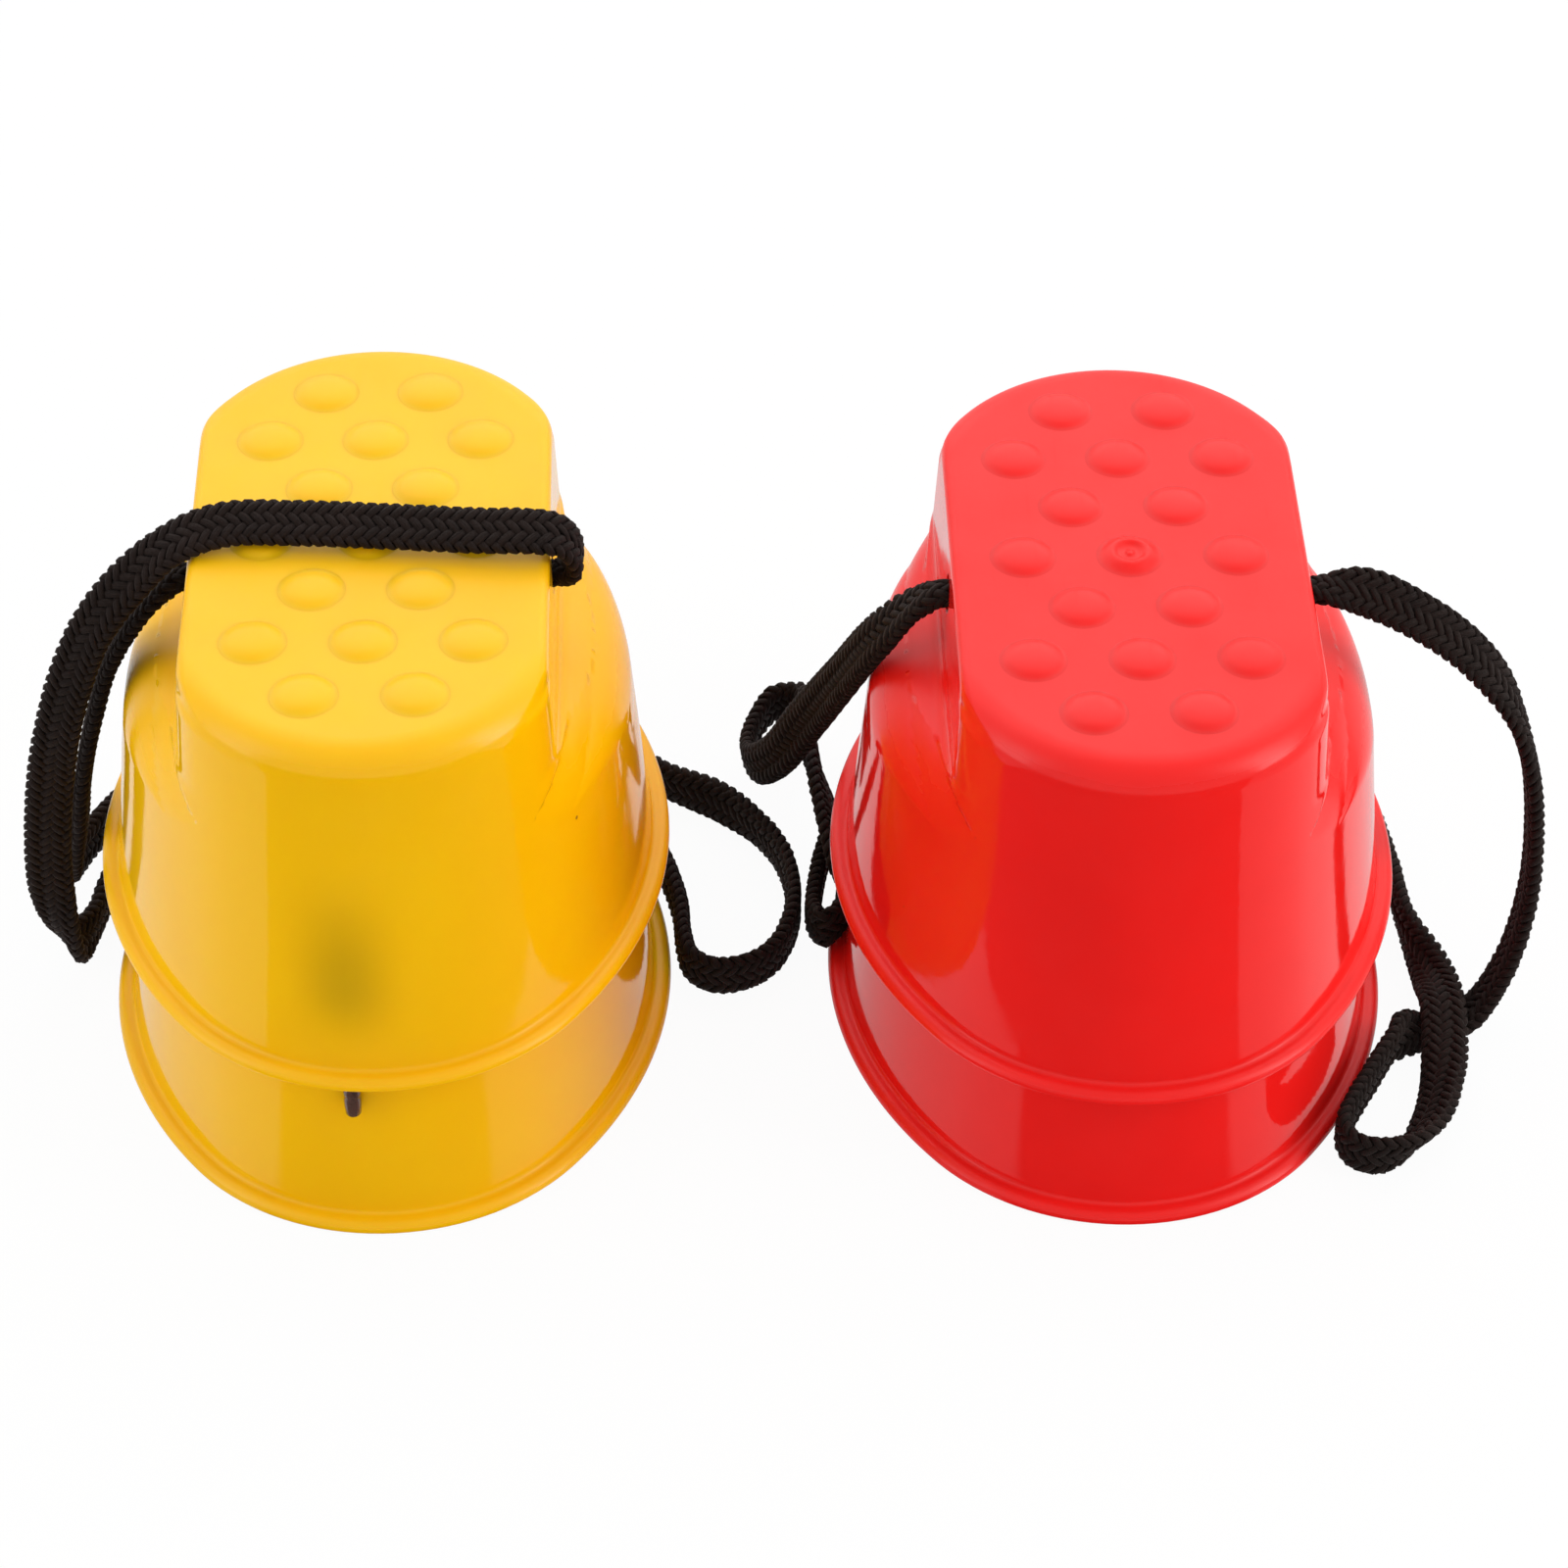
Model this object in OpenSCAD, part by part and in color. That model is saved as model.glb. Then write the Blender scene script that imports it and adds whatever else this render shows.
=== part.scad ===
// Cup stilts: two nested pairs of moulded foot cups, each cup worked by a flat braided lace.
// +Z is up, +X runs from the yellow pair to the red pair, the rims rest on z = 0.

/* [Cup] */
// Width across the rim
rim_w = 116; // [112:1:122]
// Length across the rim
rim_l = 152; // [148:1:160]
// Width of the flat rim outside the wall
rim_flange = 4.5; // [3:0.5:5]
// Thickness of the rim
rim_t = 2.8; // [2:0.2:3.6]
// Radius of the oval's two ends as a share of the wall's half width at its foot
end_share = 0.822; // [0.8:0.002:0.85]
// Height of the foot plate above the floor
cup_h = 77; // [75:0.5:80]
// Slope of the wall from upright, in degrees
draft = 4; // [3.9:0.1:4.4]
// Thickness of the wall
wall = 2; // [1.6:0.1:2]
// Rounding of the plate's front and back edges
edge_r = 5; // [3:0.5:6]

/* [Foot plate] */
// Width of the foot plate
plate_w = 70.4; // [68:0.4:72]
// Slope of the plate's side walls from upright, in degrees
side_draft = 3; // [2:0.5:4]
// Thickness of the foot plate
plate_t = 2.2; // [1.8:0.1:2.6]
// Rounding radius of the two shoulders
shoulder_r = 20; // [19:0.5:21]
// Height of the shoulder's rounding centre
shoulder_z = 34.5; // [33:0.5:36]

/* [Grip bumps] */
// Diameter of a bump
bump_d = 12; // [10:0.5:13]
// Height of a bump
bump_h = 2; // [1:0.1:2.2]
// Distance between bumps of one row
bump_step = 21; // [19:0.5:22]
// Distance between rows
row_step = 15.9; // [15:0.1:17]
// Diameter of the moulding crater in the middle bump
crater_d = 6.6; // [5:0.2:8]
// Depth of the crater below the bump's crown
crater_depth = 1.3; // [0.8:0.1:1.6]
// Diameter of the gate mark in the crater
gate_d = 1.6; // [1:0.1:2]

/* [Lace] */
// Width of the flat braid
lace_w = 10; // [9:0.5:10.5]
// Thickness of the flat braid
lace_t = 3.6; // [3:0.1:3.8]
// Width of the braid where a hole gathers it
throat_w = 6.6; // [6:0.1:6.8]
// Thickness of the braid where a hole gathers it
throat_t = 5; // [4.4:0.1:5.4]
// Diameter of the lace holes
hole_d = 8; // [7.6:0.1:9]
// Depth of the hole's centre below the plate
hole_drop = 9; // [8:0.5:10]
// Diameter of a knot
knot_d = 14; // [12:0.5:15]
// Length of a knot along the hole's axis
knot_l = 11; // [10:0.5:12]
// Length of the free tail behind a knot
tail_l = 22; // [18:1:24]
// Diameter of a lace tip
tip_d = 3.6; // [3.2:0.1:3.8]
// Length of a lace tip
tip_l = 15; // [12:1:18]
// Length of the tip that shows below the yellow upper rim
caught_tip_l = 8; // [6:1:12]

/* [Stowed lace] */
// Half width of the stowed coil along X
coil_half_w = 28; // [27:0.5:29]
// Length of the coil's straight runs along Y
coil_run = 36; // [34:1:40]
// Distance between neighbouring strands of the coil
coil_step = 4.4; // [4.3:0.1:4.6]
// Half width of the curve that joins the coil's two arms
join_half_w = 8.5; // [8:0.5:9]
// Width of the tie band
tie_w = 3; // [2:0.2:3.4]
// Thickness of the tie band
tie_t = 0.8; // [0.6:0.1:1]

/* [Stacks] */
// Distance between the two stacks
stack_step = 149.2; // [145:0.2:170]
// Height of the yellow pair's upper rim
yellow_nest = 40; // [40:0.5:42]
// Height of the red pair's upper rim
red_nest = 33.5; // [33.5:0.5:35]
// Forward shift of the yellow upper cup on the lace tail that is caught at its front
yellow_lean = 0.45; // [0.35:0.05:0.45]

/* [Hidden] */
$fn = 64;
// Clearance between pieces that lie against each other
clear = 0.3;
// Overrun of every cut
over = 1;
// Sides of a lace tube, and of a coil's tube
tube_sides = 8;
coil_sides = 6;
// Rings of a half turn of the coil, of its straight run and of the curve that joins its arms
arc_rings = 8;
run_rings = 4;
join_rings = 16;
// Segments of a rounded profile
arc_steps = 6;

yellow = "#f2b705";
red = "#e3201f";
braid = "#261c1a";
tip_brown = "#3a2018";
band_white = "#e8e4da";

// Oval at the foot of the wall: two side arcs and two end arcs, tangent to each other
foot_a = rim_w / 2 - rim_flange;
foot_b = rim_l / 2 - rim_flange;
end_r = end_share * foot_a;
end_c = foot_b - end_r;
side_r = (foot_a * foot_a + end_c * end_c - end_r * end_r) / (2 * (foot_a - end_r));
side_c = side_r - foot_a;
split = atan2(end_c, side_c);
slope = tan(draft);
wall_in = wall / cos(draft);

// Side walls of the foot plate and the shoulders below them
plate_half = plate_w / 2;
side_slope = tan(side_draft);
shoulder_rise = 0.4;
shoulder_x = foot_a - shoulder_z * slope + shoulder_rise - shoulder_r;
hole_z = cup_h - hole_drop;
hole_x = plate_half + hole_drop * side_slope;
knot_x = hole_x - wall - clear;

bump_rows = 7;
// Upright edge of a bump below its dome
bump_lip = 0.2;
crown_z = cup_h + bump_h;
coil_z = crown_z + clear + lace_w / 2;
stack_x = stack_step / 2;

// Places of the four stilts
module yellow_lower_place() { translate([-stack_x, yellow_lean / 2, 0]) children(); }
module yellow_upper_place() { translate([-stack_x, -yellow_lean / 2, yellow_nest]) children(); }
module red_lower_place() { translate([stack_x, 0, 0]) children(); }
module red_upper_place() { translate([stack_x, 0, red_nest]) children(); }

// One arc of the oval, turned about its own centre; the profile's points are [inset from the foot oval, height]
module arc_sector(r, from, sweep, profile) {
    low = profile[0][1];
    high = profile[len(profile) - 1][1];
    rotate(from) rotate_extrude(angle = sweep)
        polygon(concat([[0, low]], [for (p = profile) [r - p[0], p[1]]], [[0, high]]));
}

module oval_solid(profile) {
    for (turn = [0, 180]) rotate(turn) {
        translate([-side_c, 0, 0]) arc_sector(side_r, -split, 2 * split, profile);
        translate([0, end_c, 0]) arc_sector(end_r, 0, 360, profile);
    }
}

// Quarter round from a drafted wall to a flat top
function top_round(inset, top, r) =
    [for (i = [0:arc_steps]) let (a = draft + (90 - draft) * i / arc_steps)
        [inset + (top - r) * slope + r - r * cos(a), top - r + r * sin(a)]];

outer_profile = concat(
    [[-rim_flange, 0], [-rim_flange, rim_t], [rim_t * slope, rim_t]],
    top_round(0, cup_h, edge_r));
inner_profile = concat(
    [[wall_in - over * slope, -over]],
    top_round(wall_in, cup_h - plate_t, edge_r - wall));

// What is cut away beside the foot plate, above the shoulder, one wall thickness further in for the hollow
module side_pocket(inset) {
    far = rim_w;
    rotate([90, 0, 0]) linear_extrude(height = 2 * rim_l, center = true) difference() {
        polygon([
            [plate_half - inset - over * side_slope, cup_h + over],
            [plate_half - inset + (cup_h - shoulder_z) * side_slope, shoulder_z],
            [far, shoulder_z],
            [far, cup_h + over]
        ]);
        translate([shoulder_x, shoulder_z]) circle(r = shoulder_r - inset);
    }
}

module cup_form(profile, inset) {
    difference() {
        oval_solid(profile);
        for (turn = [0, 180]) rotate(turn) side_pocket(inset);
    }
}

module bump() {
    dome_h = bump_h - bump_lip;
    ball_r = (pow(bump_d / 2, 2) + dome_h * dome_h) / (2 * dome_h);
    rotate_extrude() intersection() {
        translate([0, bump_h - ball_r]) circle(r = ball_r);
        translate([0, -plate_t / 2]) square([bump_d / 2, plate_t / 2 + bump_h]);
    }
}

module bumps() {
    for (row = [0:bump_rows - 1]) {
        count = 2 + row % 2;
        for (i = [0:count - 1])
            translate([(i - (count - 1) / 2) * bump_step, (row - (bump_rows - 1) / 2) * row_step, cup_h]) bump();
    }
}

module cup(tint) {
    crater_z = crown_z - crater_depth;
    color(tint) {
        difference() {
            union() {
                difference() {
                    cup_form(outer_profile, 0);
                    cup_form(inner_profile, wall);
                }
                bumps();
            }
            translate([0, 0, hole_z]) rotate([0, 90, 0])
                cylinder(d = hole_d, h = plate_w + 2 * hole_drop, center = true);
            translate([0, 0, crater_z]) cylinder(d = crater_d, h = crater_depth + over);
        }
        translate([0, 0, cup_h - plate_t / 2]) cylinder(d = gate_d, h = plate_t / 2 + bump_h / 2);
    }
}

// Knot behind a lace hole, as an outline turned about the hole's axis
module knot_body() {
    waist_share = 0.8;
    face_share = 0.52;
    brow_share = 0.92;
    rotate([0, -90, 0]) rotate_extrude() polygon([
        [0, 0],
        [face_share * knot_d / 2, 0],
        [brow_share * knot_d / 2, knot_l / 6],
        [knot_d / 2, knot_l / 3],
        [waist_share * knot_d / 2, knot_l / 2],
        [knot_d / 2, knot_l * 2 / 3],
        [brow_share * knot_d / 2, knot_l * 5 / 6],
        [face_share * knot_d / 2, knot_l],
        [0, knot_l]
    ]);
}

// Flat tail of braid, from the knot's middle down along -Z, then the tip in line with it
module tail() {
    translate([-knot_l / 2, 0, -knot_d / 2 - tail_l + over]) linear_extrude(height = tail_l + knot_d / 4) {
        translate([-lace_t / 2, -(lace_w - lace_t) / 2]) square([lace_t, lace_w - lace_t]);
        for (y = [-1, 1]) translate([0, y * (lace_w - lace_t) / 2]) circle(d = lace_t);
    }
}

module knot(side, swing, tailed = true) {
    color(braid) mirror([side < 0 ? 1 : 0, 0, 0]) translate([knot_x, 0, hole_z]) {
        knot_body();
        if (tailed) rotate([swing, 0, 0]) tail();
    }
}

module tip(side, swing) {
    color(tip_brown) mirror([side < 0 ? 1 : 0, 0, 0]) translate([knot_x, 0, hole_z]) rotate([swing, 0, 0])
        translate([-knot_l / 2, 0, -knot_d / 2 - tail_l + over - tip_l]) cylinder(d = tip_d, h = tip_l);
}

// Lace tubes: flat rings swept along a route; a ring is [centre, direction, width direction, half width, half thickness]
function unit(v) = v / norm(v);
function along(points, i) =
    unit(points[min(i + 1, len(points) - 1)] - points[max(i - 1, 0)]);
function ring_points(ring, sides) =
    let (across = unit(ring[2] - (ring[2] * ring[1]) * ring[1]), through = cross(ring[1], across))
    [for (k = [0:sides - 1]) let (a = 360 * (k + 0.5) / sides)
        ring[0] + ring[3] * cos(a) / cos(180 / sides) * across + ring[4] * sin(a) / (sides % 4 == 0 ? cos(180 / sides) : 1) * through];

module swept_tube(rings, sides) {
    last = len(rings) - 1;
    points = [for (r = rings) each ring_points(r, sides)];
    walls = [for (i = [0:last - 1], k = [0:sides - 1])
        let (a = i * sides + k, b = i * sides + (k + 1) % sides)
        each [[a, b, b + sides], [a, b + sides, a + sides]]];
    caps = [for (k = [1:sides - 2]) each [[0, k + 1, k], [last * sides, last * sides + k, last * sides + k + 1]]];
    polyhedron(points = points, faces = concat(walls, caps), convexity = 10);
}

// Rings of a lace that runs from hole to hole; the first and last two rings are gathered by the holes
function lace_rings(route) =
    let (centres = [for (p = route) [p[0], p[1], p[2]]], last = len(route) - 1)
    [for (i = [0:last]) let (gathered = i < 2 || i > last - 2)
        [centres[i], along(centres, i), [route[i][3], route[i][4], route[i][5]],
            (gathered ? throat_w : lace_w) / 2, (gathered ? throat_t : lace_t) / 2]];

// Route of the yellow upper lace about its own stack: place, then the direction of the braid's width
yellow_route = [
    [33.4, 0, 108, 0, 1, 0], [36.8, 0, 108, 0, 1, 0], [39.6, -0.8, 110.6, 0, 1, 0], [40, -2.6, 115.8, 0, 3, 1],
    [37, -4.2, 120.6, 0, 5, 2], [31.5, -4.8, 122.1, 0, 2, 1], [22, -4.2, 121.9, 0, 2, 1],
    [6, -2.5, 121.7, 0, 2, 1], [-14, -1, 121.7, 0, 2, 1],
    [-28, -1, 121.5, 0, 2, 1], [-38, -3, 118.5, 0, 2, 1], [-47, -5, 110.8, -1, 2, 2], [-54.5, -6.5, 101, -2, 2, 2],
    [-60, -6.5, 88, -2, 1, 1], [-64, -6, 74, -3, 1, 1], [-66.8, -4.5, 60, -1, 0, 0], [-68.8, -3.5, 45, -1, 0, 0],
    [-69.8, -2, 30, -1, 0, 0], [-69, 0, 16, -2, 1, 1], [-66.8, 3.5, 7.5, -1, 1, 2], [-64.3, 11, 5.4, 0, 0, 1],
    [-61.5, 24, 5.4, 0, 0, 1], [-56, 42, 5.4, 0, 0, 1], [-45, 58, 5.4, 0, 0, 1], [-28, 73, 5.4, 0, 0, 1],
    [-6, 80, 5.4, 0, 0, 1], [16, 78, 5.4, 0, 0, 1], [36, 67.5, 5.4, 0, 0, 1], [48, 49, 5.4, 0, 0, 1],
    [56, 30, 5.4, 0, 0, 1], [60, 14, 5.4, 0, 0, 1], [60.8, 3, 5.4, 0, 0, 1], [62.4, -3.4, 5.4, 0, 0, 1],
    [67, -6.8, 5.4, 0, 0, 1], [73, -6.2, 5.4, 0, 0, 1], [78.8, -2, 5.4, 0, 0, 1], [82.8, 6.5, 5.4, 0, 0, 1],
    [84.2, 17, 5.4, 0, 0, 1], [82.5, 29, 5.4, 0, 0, 1], [77.5, 39, 5.4, 0, 0, 1], [69, 48, 5.6, 0, 1, 3],
    [57, 56, 5.4, 0, 0, 1], [42, 71, 5.4, 0, 0, 1], [22, 83, 5.4, 0, 0, 1], [-4, 87, 5.4, 0, 0, 1],
    [-30, 81, 5.4, 0, 0, 1], [-50, 66, 5.4, 0, 0, 1], [-63, 46, 5.6, 0, 0, 1], [-69, 30, 8, 0, 1, 3],
    [-67.5, 19, 18, 0, 1, 1], [-64.5, 12, 33, 0, 1, 0], [-62.5, 8, 47, 0, 1, 0], [-60, 6, 60, 0, 1, 0],
    [-57, 4.5, 72, 0, 1, 0], [-53.5, 3, 84, 0, 1, 0], [-48.5, 1, 95, 0, 1, 0], [-43, 0, 103.5, 0, 1, 0],
    [-37, 0, 108, 0, 1, 0], [-33.4, 0, 108, 0, 1, 0]
];

// Route of the red upper lace about its own stack
red_route = [
    [33.4, 0, 101.5, 0, 1, 0], [37, 0, 101.5, 0, 1, 0], [46, -1, 102, 1, 3, 3], [58, -3, 97, 1, 3, 3],
    [69, -5, 89, 1, 2, 1], [77.5, -7, 78, 0, 2, 1], [83, -9, 63, 0, 1, 0], [85.5, -10, 46, 0, 1, 0],
    [85.5, -12, 29, 0, 1, 0], [82, -15, 13, 0, 1, 0], [75.5, -19, 3.5, 0, 1, 0], [67, -23, 2.3, 0, 1, 0],
    [61.4, -26.4, 4.9, -1, 2, 2], [57.4, -30.6, 5.4, 0, 0, 1], [54.2, -36, 5.4, 0, 0, 1],
    [50.6, -42.5, 5.4, 0, 0, 1], [46.8, -49.5, 5.4, 0, 0, 1], [44.6, -55.5, 5.4, 0, 0, 1],
    [46, -60.5, 5.4, 0, 0, 1], [51, -62.6, 5.4, 0, 0, 1], [57.4, -60, 5.5, 1, -1, 3],
    [62.8, -52.5, 5.4, 1, -1, 1], [66.6, -41, 5, 2, 0, 1], [68.4, -30, 6.8, 1, 0, 0],
    [68.8, -21, 8.4, 1, 0, 0], [68.2, -8, 5.3, 1, 0, 1], [65, 6, 5.4, 0, 0, 1], [63.4, 24, 5.4, 0, 0, 1],
    [60, 44, 5.4, 0, 0, 1], [50, 64, 5.4, 0, 0, 1], [34, 82, 5.4, 0, 0, 1], [12, 93, 5.4, 0, 0, 1],
    [-11, 96.5, 5.4, 0, 0, 1], [-30, 92, 5.4, 0, 0, 1], [-38, 87, 5.4, 0, 0, 1], [-40, 82, 5.4, 0, 0, 1],
    [-35, 79.5, 5.4, 0, 0, 1], [-20, 86.5, 5.4, 0, 0, 1], [-7, 88.5, 5.4, 0, 0, 1], [0.5, 87, 5.4, 0, 0, 1],
    [2, 83.4, 5.4, 0, 0, 1], [-1, 80.6, 5.4, 0, 0, 1], [-12, 79, 5.4, 0, 0, 1], [-27, 73.5, 5.4, 0, 0, 1],
    [-41, 62.5, 5.4, 0, 0, 1], [-51, 49.5, 5.4, 0, 0, 1], [-57.5, 33, 5.4, 0, 0, 1],
    [-60.3, 19, 5.4, 0, 0, 1], [-60.8, 9, 6.4, 0, 0, 1], [-58.6, 4, 8.4, 0, 0, 1], [-55.6, 7, 8.6, 0, 0, 1],
    [-54.3, 14, 9, 0, 0, 1], [-54.9, 21.3, 13.9, -1, 0, 1], [-58.3, 36.1, 17, -1, 0, 2],
    [-60.8, 51.5, 18.3, 0, 0, 1], [-61.2, 66.5, 15, 0, 0, 1], [-62.3, 73.2, 12.5, 0, 0, 1],
    [-68, 74.2, 11, 0, 0, 1], [-73.4, 64.1, 9.5, 0, 0, 1], [-72.9, 54.5, 11, -1, 1, 3],
    [-68.2, 43.7, 22, -1, 1, 2], [-62.2, 34.4, 40, -1, 1, 1], [-55.6, 17, 66, -2, 5, 5],
    [-49.2, 3.9, 87.5, -1, 5, 3], [-42.8, 2, 96.5, 0, 1, 0], [-37, 0, 101.5, 0, 1, 0],
    [-33.4, 0, 101.5, 0, 1, 0]
];

module route_lace(route) { color(braid) swept_tube(lace_rings(route), tube_sides); }

// Long tail of the yellow upper lace: from its knot over the lower plate and down the front gap, where it is pinched flat
tail_pinch_t = 0.5;
tail_pinch_w = 8;
tail_route = [
    [-28, -7.9, 106.5, 1, 0, 0], [-26.5, -14, 103.5, 1, 0, 0], [-22, -28, 97, 1, 0, 0], [-15, -43, 93, 1, 0, 0],
    [-8.5, -56, 89, 1, 0, 0], [-5.5, -63, 83, 1, 0, 0]
];
tail_pinch_z = [75, 62, 50, 39.2];
tail_foot_x = -4.5;
tip_top_z = 37.5;
// Place on the front of the lower wall at a height, a distance outside it
function front_y(z, off) = -end_c - sqrt(pow(end_r - z * slope + off, 2) - tail_foot_x * tail_foot_x);
front_gap = yellow_nest * slope - wall_in + yellow_lean;
tip_y = front_y(tip_top_z - caught_tip_l, tip_d / 2 + clear);
tail_foot_dir = [-end_c - tip_y, tail_foot_x, 0];

module yellow_long_tail() {
    centres = concat([for (p = tail_route) [p[0], p[1], p[2]]],
        [for (z = tail_pinch_z) [tail_foot_x, front_y(z, front_gap / 2), z]], [[tail_foot_x, tip_y, tip_top_z]]);
    loose = len(tail_route);
    last = len(centres) - 1;
    color(braid) swept_tube([for (i = [0:last])
        [centres[i], i == last ? [0, 0, -1] : along(centres, i), i < loose ? [1, 0, 0] : tail_foot_dir,
            i < loose ? lace_w / 2 : i == last ? tip_d / 2 : tail_pinch_w / 2,
            i < loose ? lace_t / 2 : i == last ? tip_d / 2 : tail_pinch_t / 2]], tube_sides);
}

module yellow_long_tip() {
    color(tip_brown) translate([tail_foot_x, tip_y, tip_top_z - caught_tip_l]) cylinder(d = tip_d, h = caught_tip_l);
}

// Stowed coil: two arms wind in side by side round a long oval and an S-curve joins them in the middle
arm_arcs = 3;
coil_start_y = -12;
coil_in_r = coil_half_w - coil_step * (arm_arcs + 0.5);
function arm_r(t) = coil_half_w - coil_step * t;
function arc_side(k) = k % 2 == 0 ? -1 : 1;
function arm_arc(k, count) =
    [for (i = [0:count - 1]) let (t = k + i / arc_rings, a = 180 + 180 * t)
        [arm_r(t) * cos(a), arm_r(t) * sin(a) + arc_side(k) * coil_run / 2, coil_z]];
function arm_run(k) =
    [for (j = [0:run_rings - 1])
        [-arc_side(k) * arm_r(k + 1), arc_side(k) * coil_run / 2 * (1 - 2 * j / run_rings), coil_z]];
function join_point(i) =
    let (u = -1 + 2 * i / join_rings)
    [join_half_w * sin(180 * u), -(coil_run / 2 + coil_in_r) * sin(90 * u), coil_z];
function turned(p) = [-p[0], -p[1], p[2]];
arm_points = concat(
    [[-coil_half_w, coil_start_y, coil_z]],
    [for (k = [0:arm_arcs - 1]) each concat(arm_arc(k, arc_rings), arm_run(k))],
    arm_arc(arm_arcs, arc_rings / 2));
coil_points = concat(
    arm_points,
    [for (i = [0:join_rings]) join_point(i)],
    [for (i = [len(arm_points) - 1:-1:0]) turned(arm_points[i])]);
coil_start_dir = unit(coil_points[1] - coil_points[0]);

// Least distance between strands of the coil that aren't neighbours along it, less the braid's thickness
coil_skip = 8;
coil_gap = min([for (i = [0:len(coil_points) - 1 - coil_skip])
    min([for (j = [i + coil_skip:len(coil_points) - 1]) norm(coil_points[i] - coil_points[j])])]) - lace_t;
echo(coil_least_gap = coil_gap);

module stowed_coil() {
    last = len(coil_points) - 1;
    color(braid) swept_tube([for (i = [0:last])
        [coil_points[i], i == 0 || i == last ? coil_start_dir : along(coil_points, i), [0, 0, 1],
            lace_w / 2, lace_t / 2]], coil_sides);
}

// Short run of the stowed lace from a side hole over the plate's edge to the coil
stow_route = [
    [-33.4, 0, 68, 0, 1, 0], [-37, 0, 68, 0, 1, 0], [-41, 0, 70, 0, 1, 0], [-41.8, 0, 75, 0, 1, 0],
    [-38, 0, 79.4, 0, 1, 0], [-33, -1, 81, 0, 3, 1], [-29.2, -5, 83, 0, 1, 2]
];
module stow_lace(side) {
    centres = concat([for (p = stow_route) [p[0], p[1], p[2]]], [coil_points[0]]);
    widths = concat([for (p = stow_route) [p[3], p[4], p[5]]], [[0, 0, 1]]);
    last = len(centres) - 1;
    color(braid) rotate(side < 0 ? 0 : 180) swept_tube([for (i = [0:last])
        [centres[i], i == last ? coil_start_dir : along(centres, i), widths[i],
            (i < 2 ? throat_w : lace_w) / 2, (i < 2 ? throat_t : lace_t) / 2]], tube_sides);
}

// Tie band round the coil, passing under it between two rows of bumps
tie_rows = 1.5;
module tie() {
    inner_w = 2 * coil_half_w + lace_t + 2 * clear;
    low = cup_h + bump_h / 2 - tie_t / 2;
    high = coil_z + lace_w / 2 + clear + tie_t;
    color(band_white) translate([0, tie_rows * row_step + tie_w / 2, 0]) rotate([90, 0, 0]) linear_extrude(height = tie_w)
        difference() {
            translate([-inner_w / 2 - tie_t, low]) square([inner_w + 2 * tie_t, high - low]);
            translate([-inner_w / 2, low + tie_t]) square([inner_w, high - low - 2 * tie_t]);
        }
}

// Tails hang straight down in the lower cups and lie over the coil in the upper ones
hang = 0;
lie = 80;

yellow_lower_place() cup(yellow);  // yellow_lower_cup
yellow_lower_place() stow_lace(-1);  // yellow_lower_lace_left
yellow_lower_place() stow_lace(1);  // yellow_lower_lace_right
yellow_lower_place() stowed_coil();  // yellow_lower_coil
yellow_lower_place() tie();  // yellow_lower_tie
yellow_lower_place() knot(-1, hang);  // yellow_lower_knot_left
yellow_lower_place() knot(1, hang);  // yellow_lower_knot_right
yellow_lower_place() tip(-1, hang);  // yellow_lower_tip_left
yellow_lower_place() tip(1, hang);  // yellow_lower_tip_right
yellow_upper_place() cup(yellow);  // yellow_upper_cup
translate([-stack_x, -yellow_lean / 2, 0]) route_lace(yellow_route);  // yellow_upper_lace
yellow_lower_place() yellow_long_tail();  // yellow_upper_tail
yellow_upper_place() knot(-1, lie, false);  // yellow_upper_knot_left
yellow_upper_place() knot(1, lie);  // yellow_upper_knot_right
yellow_lower_place() yellow_long_tip();  // yellow_upper_tip_left
yellow_upper_place() tip(1, lie);  // yellow_upper_tip_right
red_lower_place() cup(red);  // red_lower_cup
red_lower_place() stow_lace(-1);  // red_lower_lace_left
red_lower_place() stow_lace(1);  // red_lower_lace_right
red_lower_place() stowed_coil();  // red_lower_coil
red_lower_place() tie();  // red_lower_tie
red_lower_place() knot(-1, hang);  // red_lower_knot_left
red_lower_place() knot(1, hang);  // red_lower_knot_right
red_lower_place() tip(-1, hang);  // red_lower_tip_left
red_lower_place() tip(1, hang);  // red_lower_tip_right
red_upper_place() cup(red);  // red_upper_cup
red_lower_place() route_lace(red_route);  // red_upper_lace
red_upper_place() knot(-1, -lie);  // red_upper_knot_left
red_upper_place() knot(1, lie);  // red_upper_knot_right
red_upper_place() tip(-1, -lie);  // red_upper_tip_left
red_upper_place() tip(1, lie);  // red_upper_tip_right
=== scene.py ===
# %% [markdown]
# Cup stilts: two nested pairs of moulded cups, each worked by a flat braided hand lace.
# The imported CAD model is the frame. Every piece made here sits in its place in metres, so
# nothing has to be fitted, and each piece rides on the cup that it belongs to.

# %% Load the frame
import math

import bmesh
import bpy
import numpy as np
from mathutils import Matrix, Vector


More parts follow.
